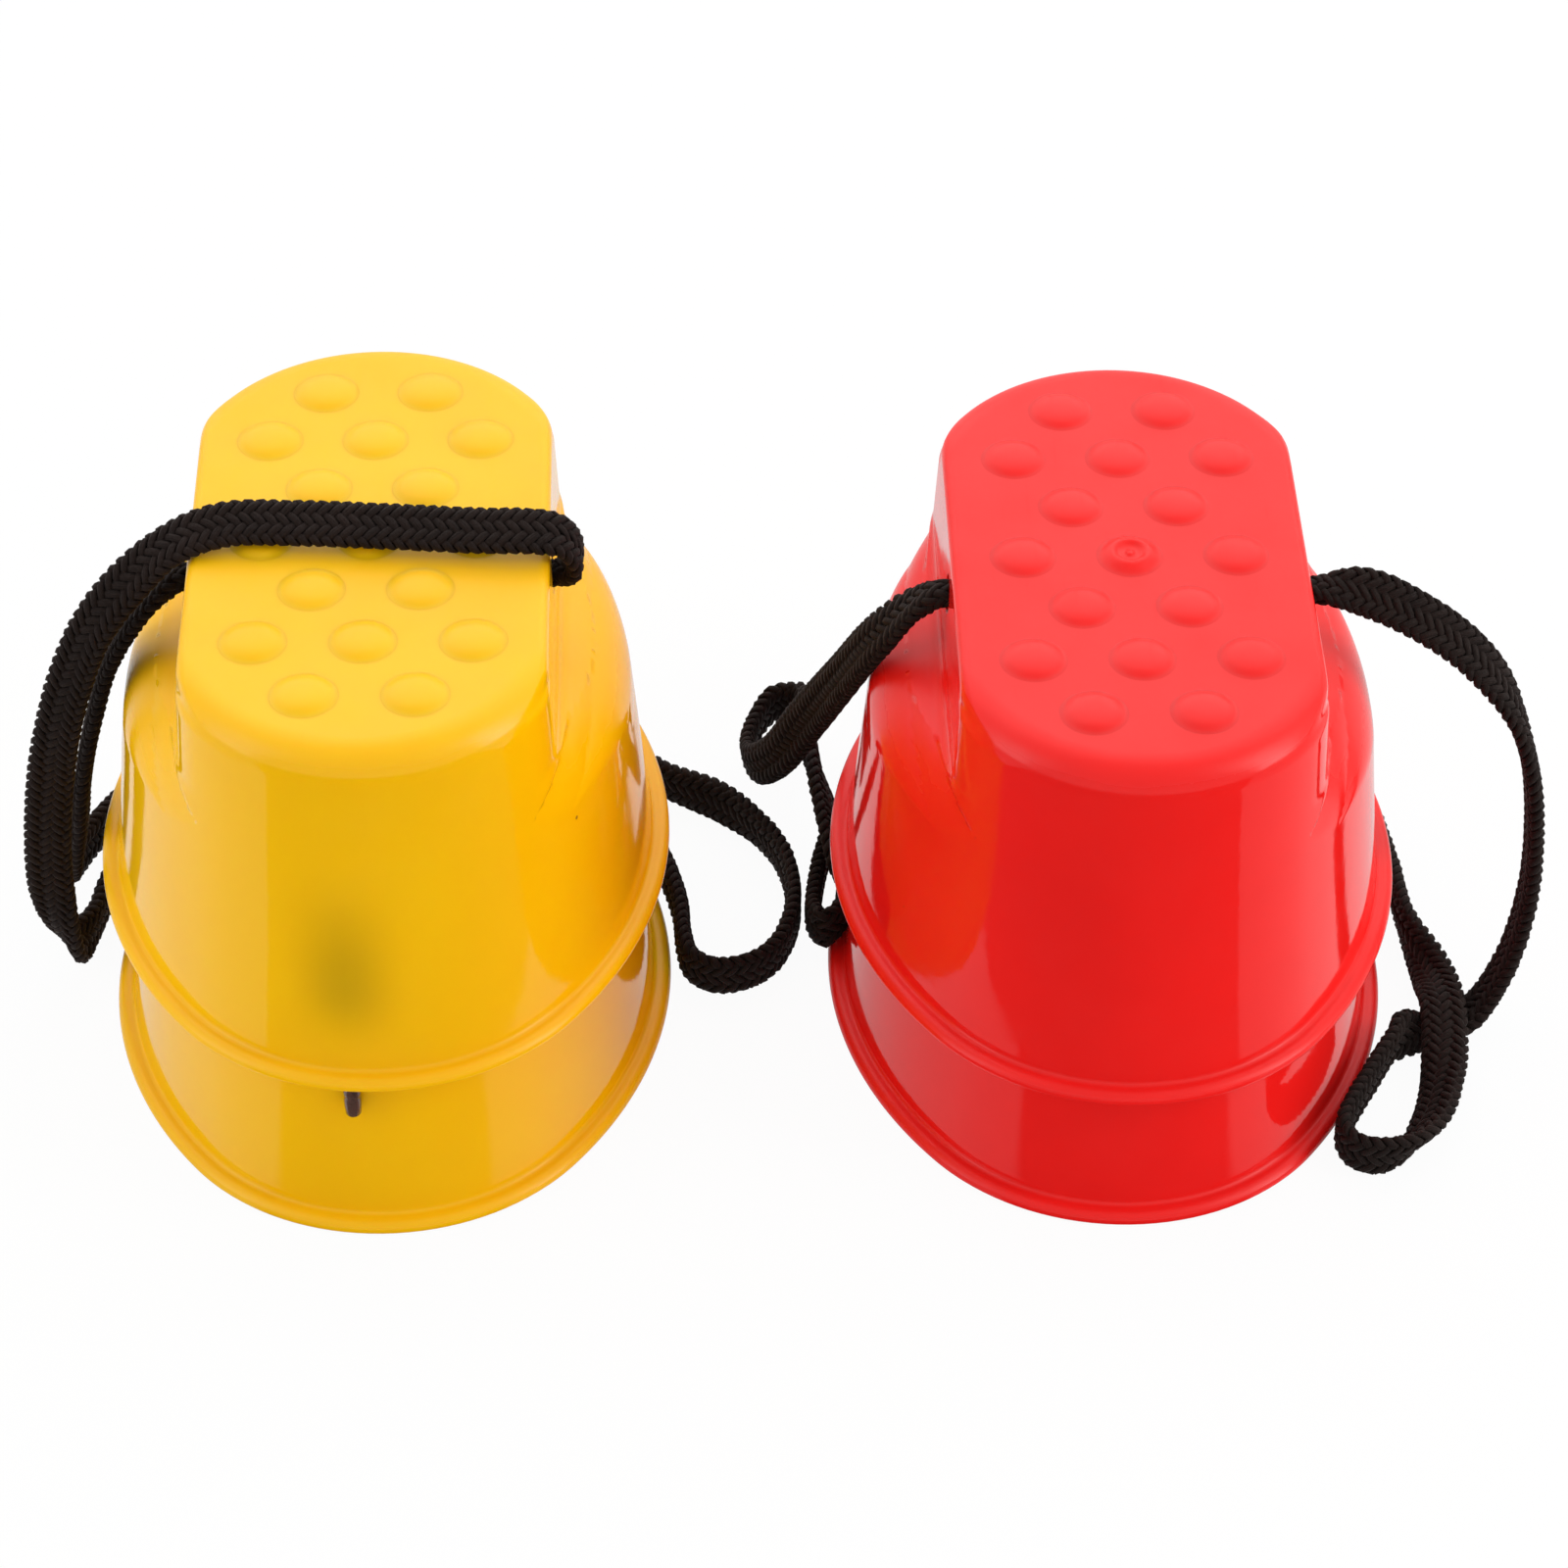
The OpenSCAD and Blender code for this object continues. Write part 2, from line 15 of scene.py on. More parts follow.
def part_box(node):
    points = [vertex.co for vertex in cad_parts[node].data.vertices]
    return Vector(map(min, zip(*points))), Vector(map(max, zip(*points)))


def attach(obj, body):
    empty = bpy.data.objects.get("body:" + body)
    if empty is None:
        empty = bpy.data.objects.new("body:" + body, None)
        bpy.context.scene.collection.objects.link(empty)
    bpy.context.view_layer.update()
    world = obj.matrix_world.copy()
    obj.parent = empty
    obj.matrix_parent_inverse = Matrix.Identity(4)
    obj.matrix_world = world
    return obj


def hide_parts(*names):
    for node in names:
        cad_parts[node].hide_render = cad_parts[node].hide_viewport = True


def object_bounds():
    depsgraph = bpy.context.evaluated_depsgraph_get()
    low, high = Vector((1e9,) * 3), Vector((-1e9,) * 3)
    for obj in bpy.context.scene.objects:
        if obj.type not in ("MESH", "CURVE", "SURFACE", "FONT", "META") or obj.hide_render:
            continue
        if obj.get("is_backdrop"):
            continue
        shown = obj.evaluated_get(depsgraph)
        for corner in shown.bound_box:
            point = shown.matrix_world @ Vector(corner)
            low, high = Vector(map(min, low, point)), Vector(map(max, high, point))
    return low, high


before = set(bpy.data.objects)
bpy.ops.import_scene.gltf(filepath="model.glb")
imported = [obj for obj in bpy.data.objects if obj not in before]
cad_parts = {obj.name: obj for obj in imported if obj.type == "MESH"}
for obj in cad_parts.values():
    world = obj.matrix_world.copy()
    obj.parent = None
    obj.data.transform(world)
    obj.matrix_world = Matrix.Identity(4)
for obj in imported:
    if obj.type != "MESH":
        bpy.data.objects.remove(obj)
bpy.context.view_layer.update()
scene = bpy.context.scene
MM = 0.001

# %% [markdown]
# The camera comes first, because what it sees decides how the laces may lie. The photo was taken with
# a long lens from about three quarters of a metre in front and above. A plain look-at turn gives the
# direction, and a last turn about the camera's own axis gives the small tilt of the picture.

# %% Camera at the photo's angle
CAMERA_PLACE = Vector((-0.01666, -0.75552, 0.70911))
CAMERA_TARGET = Vector((0.00698, 0.00233, 0.05))
CAMERA_ROLL = math.radians(0.54)

camera_data = bpy.data.cameras.new("photo_camera")
camera_data.lens = 112.5
camera_data.sensor_width = 36
camera_data.clip_start = 0.05
camera = bpy.data.objects.new("photo_camera", camera_data)
scene.collection.objects.link(camera)
look = (CAMERA_TARGET - CAMERA_PLACE).to_track_quat("-Z", "Y").to_matrix().to_4x4()
camera.matrix_world = Matrix.Translation(CAMERA_PLACE) @ look @ Matrix.Rotation(CAMERA_ROLL, 4, "Z")
scene.camera = camera
print("camera:", round((CAMERA_TARGET - CAMERA_PLACE).length, 3), "m from the middle of the stacks")

# %% [markdown]
# A hand lace is a flat braid, ten millimetres wide, that leaves a hole in the foot plate's side, lies
# round the stack in loose bends and goes back into the other hole. Its route is a list of places in
# metres about its own stack, each with the direction in which the braid's width points there.

# %% Routes of the laces
STACK_X = 0.0746
YELLOW_LEAN = 0.000225
YELLOW_NEST = 0.04
RED_NEST = 0.0335
LACE_WIDTH = 0.01
LACE_THICK = 0.0036
THROAT_WIDTH = 0.0066
THROAT_THICK = 0.005
LAID_Z = 0.0054


def on_edge(places):
    """Rows of a lace that lies along the floor on its edge, so that its width points up."""
    return [(x, y, LAID_Z, 0, 0, 1) for x, y in places]


YELLOW_ROUTE = [
    (0.0334, 0, 0.108, 0, 1, 0), (0.0368, 0, 0.108, 0, 1, 0), (0.0396, -0.0008, 0.1106, 0, 1, 0),
    (0.04, -0.0026, 0.1158, 0, 3, 1), (0.037, -0.0042, 0.1206, 0, 5, 2),
    (0.0315, -0.0048, 0.1221, 0, 2, 1), (0.022, -0.0042, 0.1219, 0, 2, 1),
    (0.006, -0.0025, 0.1217, 0, 2, 1), (-0.014, -0.001, 0.1217, 0, 2, 1),
    (-0.028, -0.001, 0.1215, 0, 2, 1), (-0.038, -0.003, 0.1185, 0, 2, 1),
    (-0.047, -0.005, 0.1108, -1, 2, 2), (-0.0545, -0.0065, 0.101, -2, 2, 2),
    (-0.06, -0.0065, 0.088, -2, 1, 1), (-0.064, -0.006, 0.074, -3, 1, 1),
    (-0.0668, -0.0045, 0.06, -1, 0, 0), (-0.0688, -0.0035, 0.045, -1, 0, 0),
    (-0.0698, -0.002, 0.03, -1, 0, 0), (-0.069, 0, 0.016, -2, 1, 1), (-0.0668, 0.0035, 0.0075, -1, 1, 2),
    *on_edge([
        (-0.0643, 0.011), (-0.0615, 0.024), (-0.056, 0.042), (-0.045, 0.058), (-0.028, 0.073),
        (-0.006, 0.08), (0.016, 0.078), (0.036, 0.0675), (0.048, 0.049), (0.056, 0.03), (0.06, 0.014),
        (0.0608, 0.003), (0.0624, -0.0034), (0.067, -0.0068), (0.073, -0.0062), (0.0788, -0.002),
        (0.0828, 0.0065), (0.0842, 0.017), (0.0825, 0.029), (0.0775, 0.039),
    ]),
    (0.069, 0.048, 0.0056, 0, 1, 3),
    *on_edge([
        (0.057, 0.056), (0.042, 0.071), (0.022, 0.083), (-0.004, 0.087), (-0.03, 0.081), (-0.05, 0.066),
    ]),
    (-0.063, 0.046, 0.0056, 0, 0, 1), (-0.069, 0.03, 0.008, 0, 1, 3), (-0.0675, 0.019, 0.018, 0, 1, 1),
    (-0.0645, 0.012, 0.033, 0, 1, 0), (-0.0625, 0.008, 0.047, 0, 1, 0), (-0.06, 0.006, 0.06, 0, 1, 0),
    (-0.057, 0.0045, 0.072, 0, 1, 0), (-0.0535, 0.003, 0.084, 0, 1, 0), (-0.0485, 0.001, 0.095, 0, 1, 0),
    (-0.043, 0, 0.1035, 0, 1, 0), (-0.037, 0, 0.108, 0, 1, 0), (-0.0334, 0, 0.108, 0, 1, 0),
]
RED_ROUTE = [
    (0.0334, 0, 0.1015, 0, 1, 0), (0.037, 0, 0.1015, 0, 1, 0), (0.046, -0.001, 0.102, 1, 3, 3),
    (0.058, -0.003, 0.097, 1, 3, 3), (0.069, -0.005, 0.089, 1, 2, 1), (0.0775, -0.007, 0.078, 0, 2, 1),
    (0.083, -0.009, 0.063, 0, 1, 0), (0.0855, -0.01, 0.046, 0, 1, 0), (0.0855, -0.012, 0.029, 0, 1, 0),
    (0.082, -0.015, 0.013, 0, 1, 0), (0.0755, -0.019, 0.0035, 0, 1, 0), (0.067, -0.023, 0.0023, 0, 1, 0),
    (0.0614, -0.0264, 0.0049, -1, 2, 2),
    *on_edge([
        (0.0574, -0.0306), (0.0542, -0.036), (0.0506, -0.0425), (0.0468, -0.0495), (0.0446, -0.0555),
        (0.046, -0.0605), (0.051, -0.0626),
    ]),
    (0.0574, -0.06, 0.0055, 1, -1, 3), (0.0628, -0.0525, 0.0054, 1, -1, 1),
    (0.0666, -0.041, 0.005, 2, 0, 1), (0.0684, -0.03, 0.0068, 1, 0, 0), (0.0688, -0.021, 0.0084, 1, 0, 0),
    (0.0682, -0.008, 0.0053, 1, 0, 1),
    *on_edge([
        (0.065, 0.006), (0.0634, 0.024), (0.06, 0.044), (0.05, 0.064), (0.034, 0.082), (0.012, 0.093),
        (-0.011, 0.0965), (-0.03, 0.092), (-0.038, 0.087), (-0.04, 0.082), (-0.035, 0.0795),
        (-0.02, 0.0865), (-0.007, 0.0885), (0.0005, 0.087), (0.002, 0.0834), (-0.001, 0.0806),
        (-0.012, 0.079), (-0.027, 0.0735), (-0.041, 0.0625), (-0.051, 0.0495), (-0.0575, 0.033),
        (-0.0603, 0.019),
    ]),
    (-0.0608, 0.009, 0.0064, 0, 0, 1), (-0.0586, 0.004, 0.0084, 0, 0, 1),
    (-0.0556, 0.007, 0.0086, 0, 0, 1), (-0.0543, 0.014, 0.009, 0, 0, 1),
    (-0.0549, 0.0213, 0.0139, -1, 0, 1), (-0.0583, 0.0361, 0.017, -1, 0, 2),
    (-0.0608, 0.0515, 0.0183, 0, 0, 1), (-0.0612, 0.0665, 0.015, 0, 0, 1),
    (-0.0623, 0.0732, 0.0125, 0, 0, 1), (-0.068, 0.0742, 0.011, 0, 0, 1),
    (-0.0734, 0.0641, 0.0095, 0, 0, 1), (-0.0729, 0.0545, 0.011, -1, 1, 3),
    (-0.0682, 0.0437, 0.022, -1, 1, 2), (-0.0622, 0.0344, 0.04, -1, 1, 1),
    (-0.0556, 0.017, 0.066, -2, 5, 5), (-0.0492, 0.0039, 0.0875, -1, 5, 3),
    (-0.0428, 0.002, 0.0965, 0, 1, 0), (-0.037, 0, 0.1015, 0, 1, 0), (-0.0334, 0, 0.1015, 0, 1, 0),
]
TAIL_ROUTE = [
    (-0.028, -0.0079, 0.1065, 1, 0, 0), (-0.0265, -0.014, 0.1035, 1, 0, 0),
    (-0.022, -0.028, 0.097, 1, 0, 0), (-0.015, -0.043, 0.093, 1, 0, 0), (-0.0085, -0.056, 0.089, 1, 0, 0),
    (-0.0055, -0.063, 0.083, 1, 0, 0),
]
STOW_ROUTE = [
    (-0.0334, 0, 0.068, 0, 1, 0), (-0.037, 0, 0.068, 0, 1, 0), (-0.041, 0, 0.07, 0, 1, 0),
    (-0.0418, 0, 0.075, 0, 1, 0), (-0.038, 0, 0.0794, 0, 1, 0), (-0.033, -0.001, 0.081, 0, 3, 1),
    (-0.0292, -0.005, 0.083, 0, 1, 2),
]

print("routes:", len(YELLOW_ROUTE), "yellow points,", len(RED_ROUTE), "red points")

# %% [markdown]
# The lower cups' laces are put away as a flat oval coil on the plate, inside the nest. Two arms wind in
# side by side and an S-curve joins them in the middle, so both ends come out at the coil's edge.

# %% Route of a stowed lace
COIL_HALF = 0.028
COIL_RUN = 0.036
COIL_STEP = 0.0044
COIL_Z = 0.0843
COIL_START_Y = -0.012
JOIN_HALF = 0.0085
ARM_ARCS = 3


def coil_arm():
    """Places of one arm of the coil, from its outer end to where the joining curve starts."""
    places = [(-COIL_HALF, COIL_START_Y)]
    for k in range(ARM_ARCS + 1):
        side = -1 if k % 2 == 0 else 1
        for i in range(8 if k < ARM_ARCS else 4):
            turn = k + i / 8
            radius = COIL_HALF - COIL_STEP * turn
            angle = math.pi * (1 + turn)
            places.append((radius * math.cos(angle), radius * math.sin(angle) + side * COIL_RUN / 2))
        if k < ARM_ARCS:
            radius = COIL_HALF - COIL_STEP * (k + 1)
            places += [(-side * radius, side * COIL_RUN / 2 * (1 - j / 2)) for j in range(4)]
    return places


def stowed_route():
    """Rows of a whole stowed lace: left run, coil and right run."""
    arm = coil_arm()
    reach = COIL_RUN / 2 + COIL_HALF - COIL_STEP * (ARM_ARCS + 0.5)
    steps = [-1 + i / 8 for i in range(17)]
    join = [(JOIN_HALF * math.sin(math.pi * u), -reach * math.sin(math.pi * u / 2)) for u in steps]
    flat = arm + join + [(-x, -y) for x, y in reversed(arm)]
    left = [tuple(row) for row in STOW_ROUTE]
    right = [(-x, -y, z, -wx, -wy, wz) for x, y, z, wx, wy, wz in reversed(STOW_ROUTE)]
    return left + [(x, y, COIL_Z, 0, 0, 1) for x, y in flat] + right


STOWED_ROUTE = stowed_route()
print("stowed lace:", len(STOWED_ROUTE), "points")

# %% [markdown]
# The points of a route are only a few fixed places. A smooth curve through them, cut into equal short
# steps, is what a braid can be laid along. Each step keeps the place, the direction of the braid's
# width, and the braid's half width and half thickness. Where a hole gathers the braid, it gets narrower
# and thicker.

# %% Smooth line through a route
def route_table(rows, offset=(0, 0, 0), throats=(2, 2)):
    """One row per route point: place, width direction, half width, half thickness."""
    table = np.zeros((len(rows), 8))
    for i, row in enumerate(rows):
        width = Vector(row[3:]).normalized()
        gathered = i < throats[0] or i >= len(rows) - throats[1]
        size = (THROAT_WIDTH, THROAT_THICK) if gathered else (LACE_WIDTH, LACE_THICK)
        table[i] = (*(Vector(row[:3]) + Vector(offset)), *width, size[0] / 2, size[1] / 2)
    return table


def smooth_line(table, step):
    """The table's values along a smooth curve through its rows, at equal steps of about that length."""
    gaps = np.linalg.norm(np.diff(table[:, :3], axis=0), axis=1)
    knots = np.concatenate([[0], np.cumsum(np.sqrt(gaps))])
    span = np.diff(knots)[:, None]
    rise = np.diff(table, axis=0) / span
    tangents = np.empty_like(table)
    tangents[0], tangents[-1] = rise[0], rise[-1]
    tangents[1:-1] = (rise[:-1] * span[1:] + rise[1:] * span[:-1]) / (span[1:] + span[:-1])
    share = np.linspace(0, 1, 24, endpoint=False)[None, :, None]
    low, high = table[:-1, None], table[1:, None]
    slow, shigh = tangents[:-1, None] * span[:, None], tangents[1:, None] * span[:, None]
    dense = (
        low * (2 * share**3 - 3 * share**2 + 1)
        + high * (3 * share**2 - 2 * share**3)
        + slow * (share**3 - 2 * share**2 + share)
        + shigh * (share**3 - share**2)
    )
    dense = np.concatenate([dense.reshape(-1, table.shape[1]), table[-1:]])
    run = np.concatenate([[0], np.cumsum(np.linalg.norm(np.diff(dense[:, :3], axis=0), axis=1))])
    marks = np.linspace(0, run[-1], int(run[-1] / step) + 1)
    return np.column_stack([np.interp(marks, run, column) for column in dense.T]), run[-1]


def unit(vectors):
    """The same directions with a length of one."""
    return vectors / np.linalg.norm(vectors, axis=-1, keepdims=True)


def line_frames(line):
    """Width direction and thickness direction at each step of a line."""
    ahead = unit(np.gradient(line[:, :3], axis=0))
    width = line[:, 3:6]
    width = unit(width - ahead * np.sum(width * ahead, axis=1, keepdims=True))
    return width, np.cross(ahead, width)


for title, rows in (("yellow", YELLOW_ROUTE), ("red", RED_ROUTE), ("stowed", STOWED_ROUTE)):
    print(title, "lace:", round(smooth_line(route_table(rows), 0.001)[1] * 1000, 1), "mm long")

# %% [markdown]
# The braid is sixteen flat yarns. Eight wind one way round a flattened tube and eight the other way,
# and each passes over two of the others and then under two, which gives the small slanted stitches and
# the scalloped edge. A texture on a plain tube would lose that edge, so each yarn is a real tube: a
# bmesh grid, bent into place along its own path and welded into a tube.

# %% Bend a grid into yarns
YARN_PAIRS = 8
YARN_LAY = 0.019
YARN_SIDES = 5
# Shares of the lace's thickness: how far a yarn rises and dips, and half its own thickness
YARN_LIFT_SHARE, YARN_HALF_SHARE = 0.1, 0.13
# Half a yarn's width as a share of its pitch, and the core's size as shares of the lace's
YARN_WIDTH_SHARE = 0.36
CORE_WIDTH_SHARE, CORE_THICK_SHARE = 0.84, 0.5
# Least half thickness of the tube on which the yarns wind, where the lace is pinched
LEAST_HALF = 0.0002


def flat_tube(angle, half_width, half_thick):
    """Place and outward normal on the middle surface of a flattened tube, by share of its way round."""
    flat = np.maximum(half_width - half_thick, 1e-6)
    half_turn = math.pi * half_thick
    way = np.mod(angle, 1) * (4 * flat + 2 * half_turn)
    right = math.pi / 2 - (way - 2 * flat) / half_thick
    left = -math.pi / 2 - (way - 4 * flat - half_turn) / half_thick
    parts = [way < 2 * flat, way < 2 * flat + half_turn, way < 4 * flat + half_turn]
    zero, one = np.zeros_like(way), np.ones_like(way)
    nx = np.select(parts, [zero, np.cos(right), zero], np.cos(left))
    ny = np.select(parts, [one, np.sin(right), -one], np.sin(left))
    across = [way - flat, flat + half_thick * nx, 3 * flat + half_turn - way]
    x = np.select(parts, across, half_thick * nx - flat)
    return x, half_thick * ny, nx, ny


def to_mesh(bm, name):
    """A new mesh of a bmesh, which is freed."""
    mesh = bpy.data.meshes.new(name)
    bm.to_mesh(mesh)
    bm.free()
    return mesh


def vertex_values(mesh, key):
    """Places or normals of a mesh's vertices, one row each."""
    values = np.empty(len(mesh.vertices) * 3)
    mesh.vertices.foreach_get(key, values)
    return values.reshape(-1, 3)


def grid_mesh(name, along, around, copies, uv_name):
    """Flat grids in one mesh. Gives it with each vertex's step along, share round and grid number."""
    bm = bmesh.new()
    bm.loops.layers.uv.new(uv_name)
    for k in range(copies):
        place = Matrix.Translation((0, 0, k))
        bmesh.ops.create_grid(bm, x_segments=along, y_segments=around, size=1, matrix=place, calc_uvs=True)
    mesh = to_mesh(bm, name)
    flat = vertex_values(mesh, "co")
    step = np.rint((flat[:, 0] + 1) / 2 * along).astype(int)
    share = (flat[:, 1] + 1) / 2
    return mesh, step, share, np.rint(flat[:, 2]).astype(int)


SEAM_GAP = 1e-6


def weld(mesh, places, gap):
    """Moves the mesh's vertices to the places, welds seams, caps open ends and turns the faces outward."""
    mesh.vertices.foreach_set("co", np.ascontiguousarray(places).ravel())
    bm = bmesh.new()
    bm.from_mesh(mesh)
    bmesh.ops.remove_doubles(bm, verts=bm.verts, dist=gap)
    bmesh.ops.holes_fill(bm, edges=[e for e in bm.edges if e.is_boundary], sides=0)
    bmesh.ops.recalc_face_normals(bm, faces=bm.faces)
    for face in bm.faces:
        face.smooth = True
    bm.to_mesh(mesh)
    bm.free()
    mesh.update()


def link(name, mesh, body):
    """Links a piece into the scene and onto its body."""
    piece = bpy.data.objects.new(name, mesh)
    scene.collection.objects.link(piece)
    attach(piece, body)
    return piece


# %% Braid along a line
def braid_mesh(name, table, step):
    """Mesh of a whole braid and the line that it follows."""
    line, length = smooth_line(table, step)
    width, thick = line_frames(line)
    steps = len(line) - 1
    run = np.linspace(0, length, steps + 1)
    lift = LACE_THICK * YARN_LIFT_SHARE
    yarn_half = LACE_THICK * YARN_HALF_SHARE
    half_width = line[:, 6] - lift - yarn_half
    half_thick = np.maximum(line[:, 7] - lift - yarn_half, LEAST_HALF)
    crossing = 2 * YARN_PAIRS * run / YARN_LAY
    centres, outs = [], []
    for k in range(2 * YARN_PAIRS):
        j, way = k // 2, 1 if k % 2 == 0 else -1
        x, y, nx, ny = flat_tube(way * run / YARN_LAY + j / YARN_PAIRS, half_width, half_thick)
        wave = np.cos(math.pi / 2 * ((crossing if way > 0 else -crossing) + 2 * j - 0.5))
        lifts = way * lift * np.tanh(2 * wave) / math.tanh(2)
        x, y = x + nx * lifts, y + ny * lifts
        centres.append(line[:, :3] + width * x[:, None] + thick * y[:, None])
        outs.append(width * nx[:, None] + thick * ny[:, None])
    centres, outs = np.array(centres), np.array(outs)
    along = unit(np.gradient(centres, axis=1))
    outs = unit(outs - along * np.sum(outs * along, axis=2, keepdims=True))
    sides = np.cross(along, outs)
    mesh, at, share, yarn = grid_mesh(name, steps, YARN_SIDES, 2 * YARN_PAIRS, "yarn")
    turn = 2 * math.pi * share[:, None]
    yarn_width = YARN_LAY / YARN_PAIRS * YARN_WIDTH_SHARE
    places = centres[yarn, at] + sides[yarn, at] * np.cos(turn) * yarn_width
    places = places + outs[yarn, at] * np.sin(turn) * yarn_half
    weld(mesh, places, SEAM_GAP)
    return mesh, line, length


def core_mesh(name, line, around=10):
    """Thin tube inside a braid, so that no light shows between the yarns."""
    few = line[::3]
    width, thick = line_frames(few)
    mesh, at, share, _ = grid_mesh(name, len(few) - 1, around, 1, "yarn")
    x, y, _, _ = flat_tube(share, few[at, 6] * CORE_WIDTH_SHARE, few[at, 7] * CORE_THICK_SHARE)
    weld(mesh, few[at, :3] + width[at] * x[:, None] + thick[at] * y[:, None], SEAM_GAP)
    return mesh


def join(meshes, name):
    """One mesh of several."""
    bm = bmesh.new()
    for mesh in meshes:
        bm.from_mesh(mesh)
        bpy.data.meshes.remove(mesh)
    return to_mesh(bm, name)


def braided_piece(name, table, step, body):
    """A braid with its core as one piece, and its path and length."""
    mesh, line, length = braid_mesh(name + "_yarns", table, step)
    mesh = join([mesh, core_mesh(name + "_core", line)], name)
    piece = link(name, mesh, body)
    print(name, round(length * 1000, 1), "mm,", sum(len(p.vertices) - 2 for p in mesh.polygons), "triangles")
    marks = np.rint(np.linspace(0, len(line) - 1, len(line) // 6)).astype(int)
    return piece, [Vector(p) for p in line[marks, :3]], length


# %% Upper laces, from hole to hole
LACE_STEP = 0.00072
yellow_place = (-STACK_X, -YELLOW_LEAN, 0)
red_place = (STACK_X, 0, 0)
yellow_lace, yellow_path, _ = braided_piece(
    "yellow_hand_lace", route_table(YELLOW_ROUTE, yellow_place), LACE_STEP, "yellow_upper_stilt"
)
red_lace, red_path, _ = braided_piece(
    "red_hand_lace", route_table(RED_ROUTE, red_place), LACE_STEP, "red_upper_stilt"
)
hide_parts("yellow_upper_lace")
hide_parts("red_upper_lace")

# %% Stowed laces of the lower cups
STOW_STEP = 0.0012
stowed = {}
for colour, place in (("yellow", (-STACK_X, YELLOW_LEAN, 0)), ("red", red_place)):
    stilt = colour + "_lower"
    piece, path, length = braided_piece(
        stilt + "_stowed_lace", route_table(STOWED_ROUTE, place), STOW_STEP, stilt + "_stilt"
    )
    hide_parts(stilt + "_lace_left", stilt + "_coil", stilt + "_lace_right")
    stowed[stilt] = (piece, path, length)

# %% [markdown]
# Each cup is one moulding: a sloping wall that spreads a little at its foot and ends in a rounded rim, a
# bumped foot plate, and two round shoulders beside the plate. Nothing on it has a sharp edge. Solids cut
# from each other would need fillets where four curved faces meet, which Blender's bevel does badly, so
# the form is written as a distance: how far a point is outside the cup, in millimetres. Roundings are
# then one small formula each.

# %% Cup sizes
RIM_HALF_W, RIM_HALF_L = 58, 76
RIM_FLANGE = 4.5
FOOT_FLARE, FLARE_H = 1.3, 60
END_SHARE = 0.822
FOOT_A = RIM_HALF_W - RIM_FLANGE
FOOT_B = RIM_HALF_L - RIM_FLANGE
END_R = END_SHARE * FOOT_A
END_C = FOOT_B - END_R
SIDE_R = (FOOT_A**2 + END_C**2 - END_R**2) / (2 * (FOOT_A - END_R))
SIDE_C = SIDE_R - FOOT_A
SPLIT = math.atan2(END_C, SIDE_C)
CUP_H = 77
WALL = 2
PLATE_T = 2.2
DRAFT = math.radians(4)
EDGE_R = 6.5
PLATE_HALF = 35.2
SIDE_SLOPE = math.tan(math.radians(3))
SHOULDER_R = 20
SHOULDER_Z = 34.5
SHOULDER_RISE = 0.4
SHOULDER_X = FOOT_A - SHOULDER_Z * math.tan(DRAFT) + SHOULDER_RISE - SHOULDER_R
# Widening of the shoulder below its rounding, and the roundings of the valley and of the corners
SHOULDER_SPREAD = 0.2
VALLEY_R = 2.6
CORNER_R, TOP_CORNER_R = 9, 2
HOLE_R = 4
HOLE_Z = 68
print("oval: ends", round(END_R, 2), "mm, sides", round(SIDE_R, 2), "mm")


# %% Distance to the cup's form
def round_max(a, b, r):
    """Where both distances are negative, with the edge between them rounded."""
    return np.minimum(-r, np.maximum(a, b)) + np.hypot(np.maximum(a + r, 0), np.maximum(b + r, 0))


def ramp(value, low, high):
    """0 below low, 1 above high and a smooth rise between them."""
    share = np.clip((value - low) / (high - low), 0, 1)
    return share * share * (3 - 2 * share)


STEP = 0.01
TINY = 1e-6


def oval_distance(x, y):
    """Distance outside the oval at the foot of the wall, and how far its normal points sideways."""
    ax, ay = np.abs(x), np.abs(y)
    on_side = np.arctan2(ay, ax + SIDE_C) <= SPLIT
    dx, dy = np.where(on_side, ax + SIDE_C, ax), np.where(on_side, ay, ay - END_C)
    far = np.maximum(np.hypot(dx, dy), 1e-9)
    return far - np.where(on_side, SIDE_R, END_R), dx / far


def foot_flare(z):
    """How far the wall stands out towards its foot."""
    return FOOT_FLARE * np.clip(1 - z / FLARE_H, 0, 1) ** 2


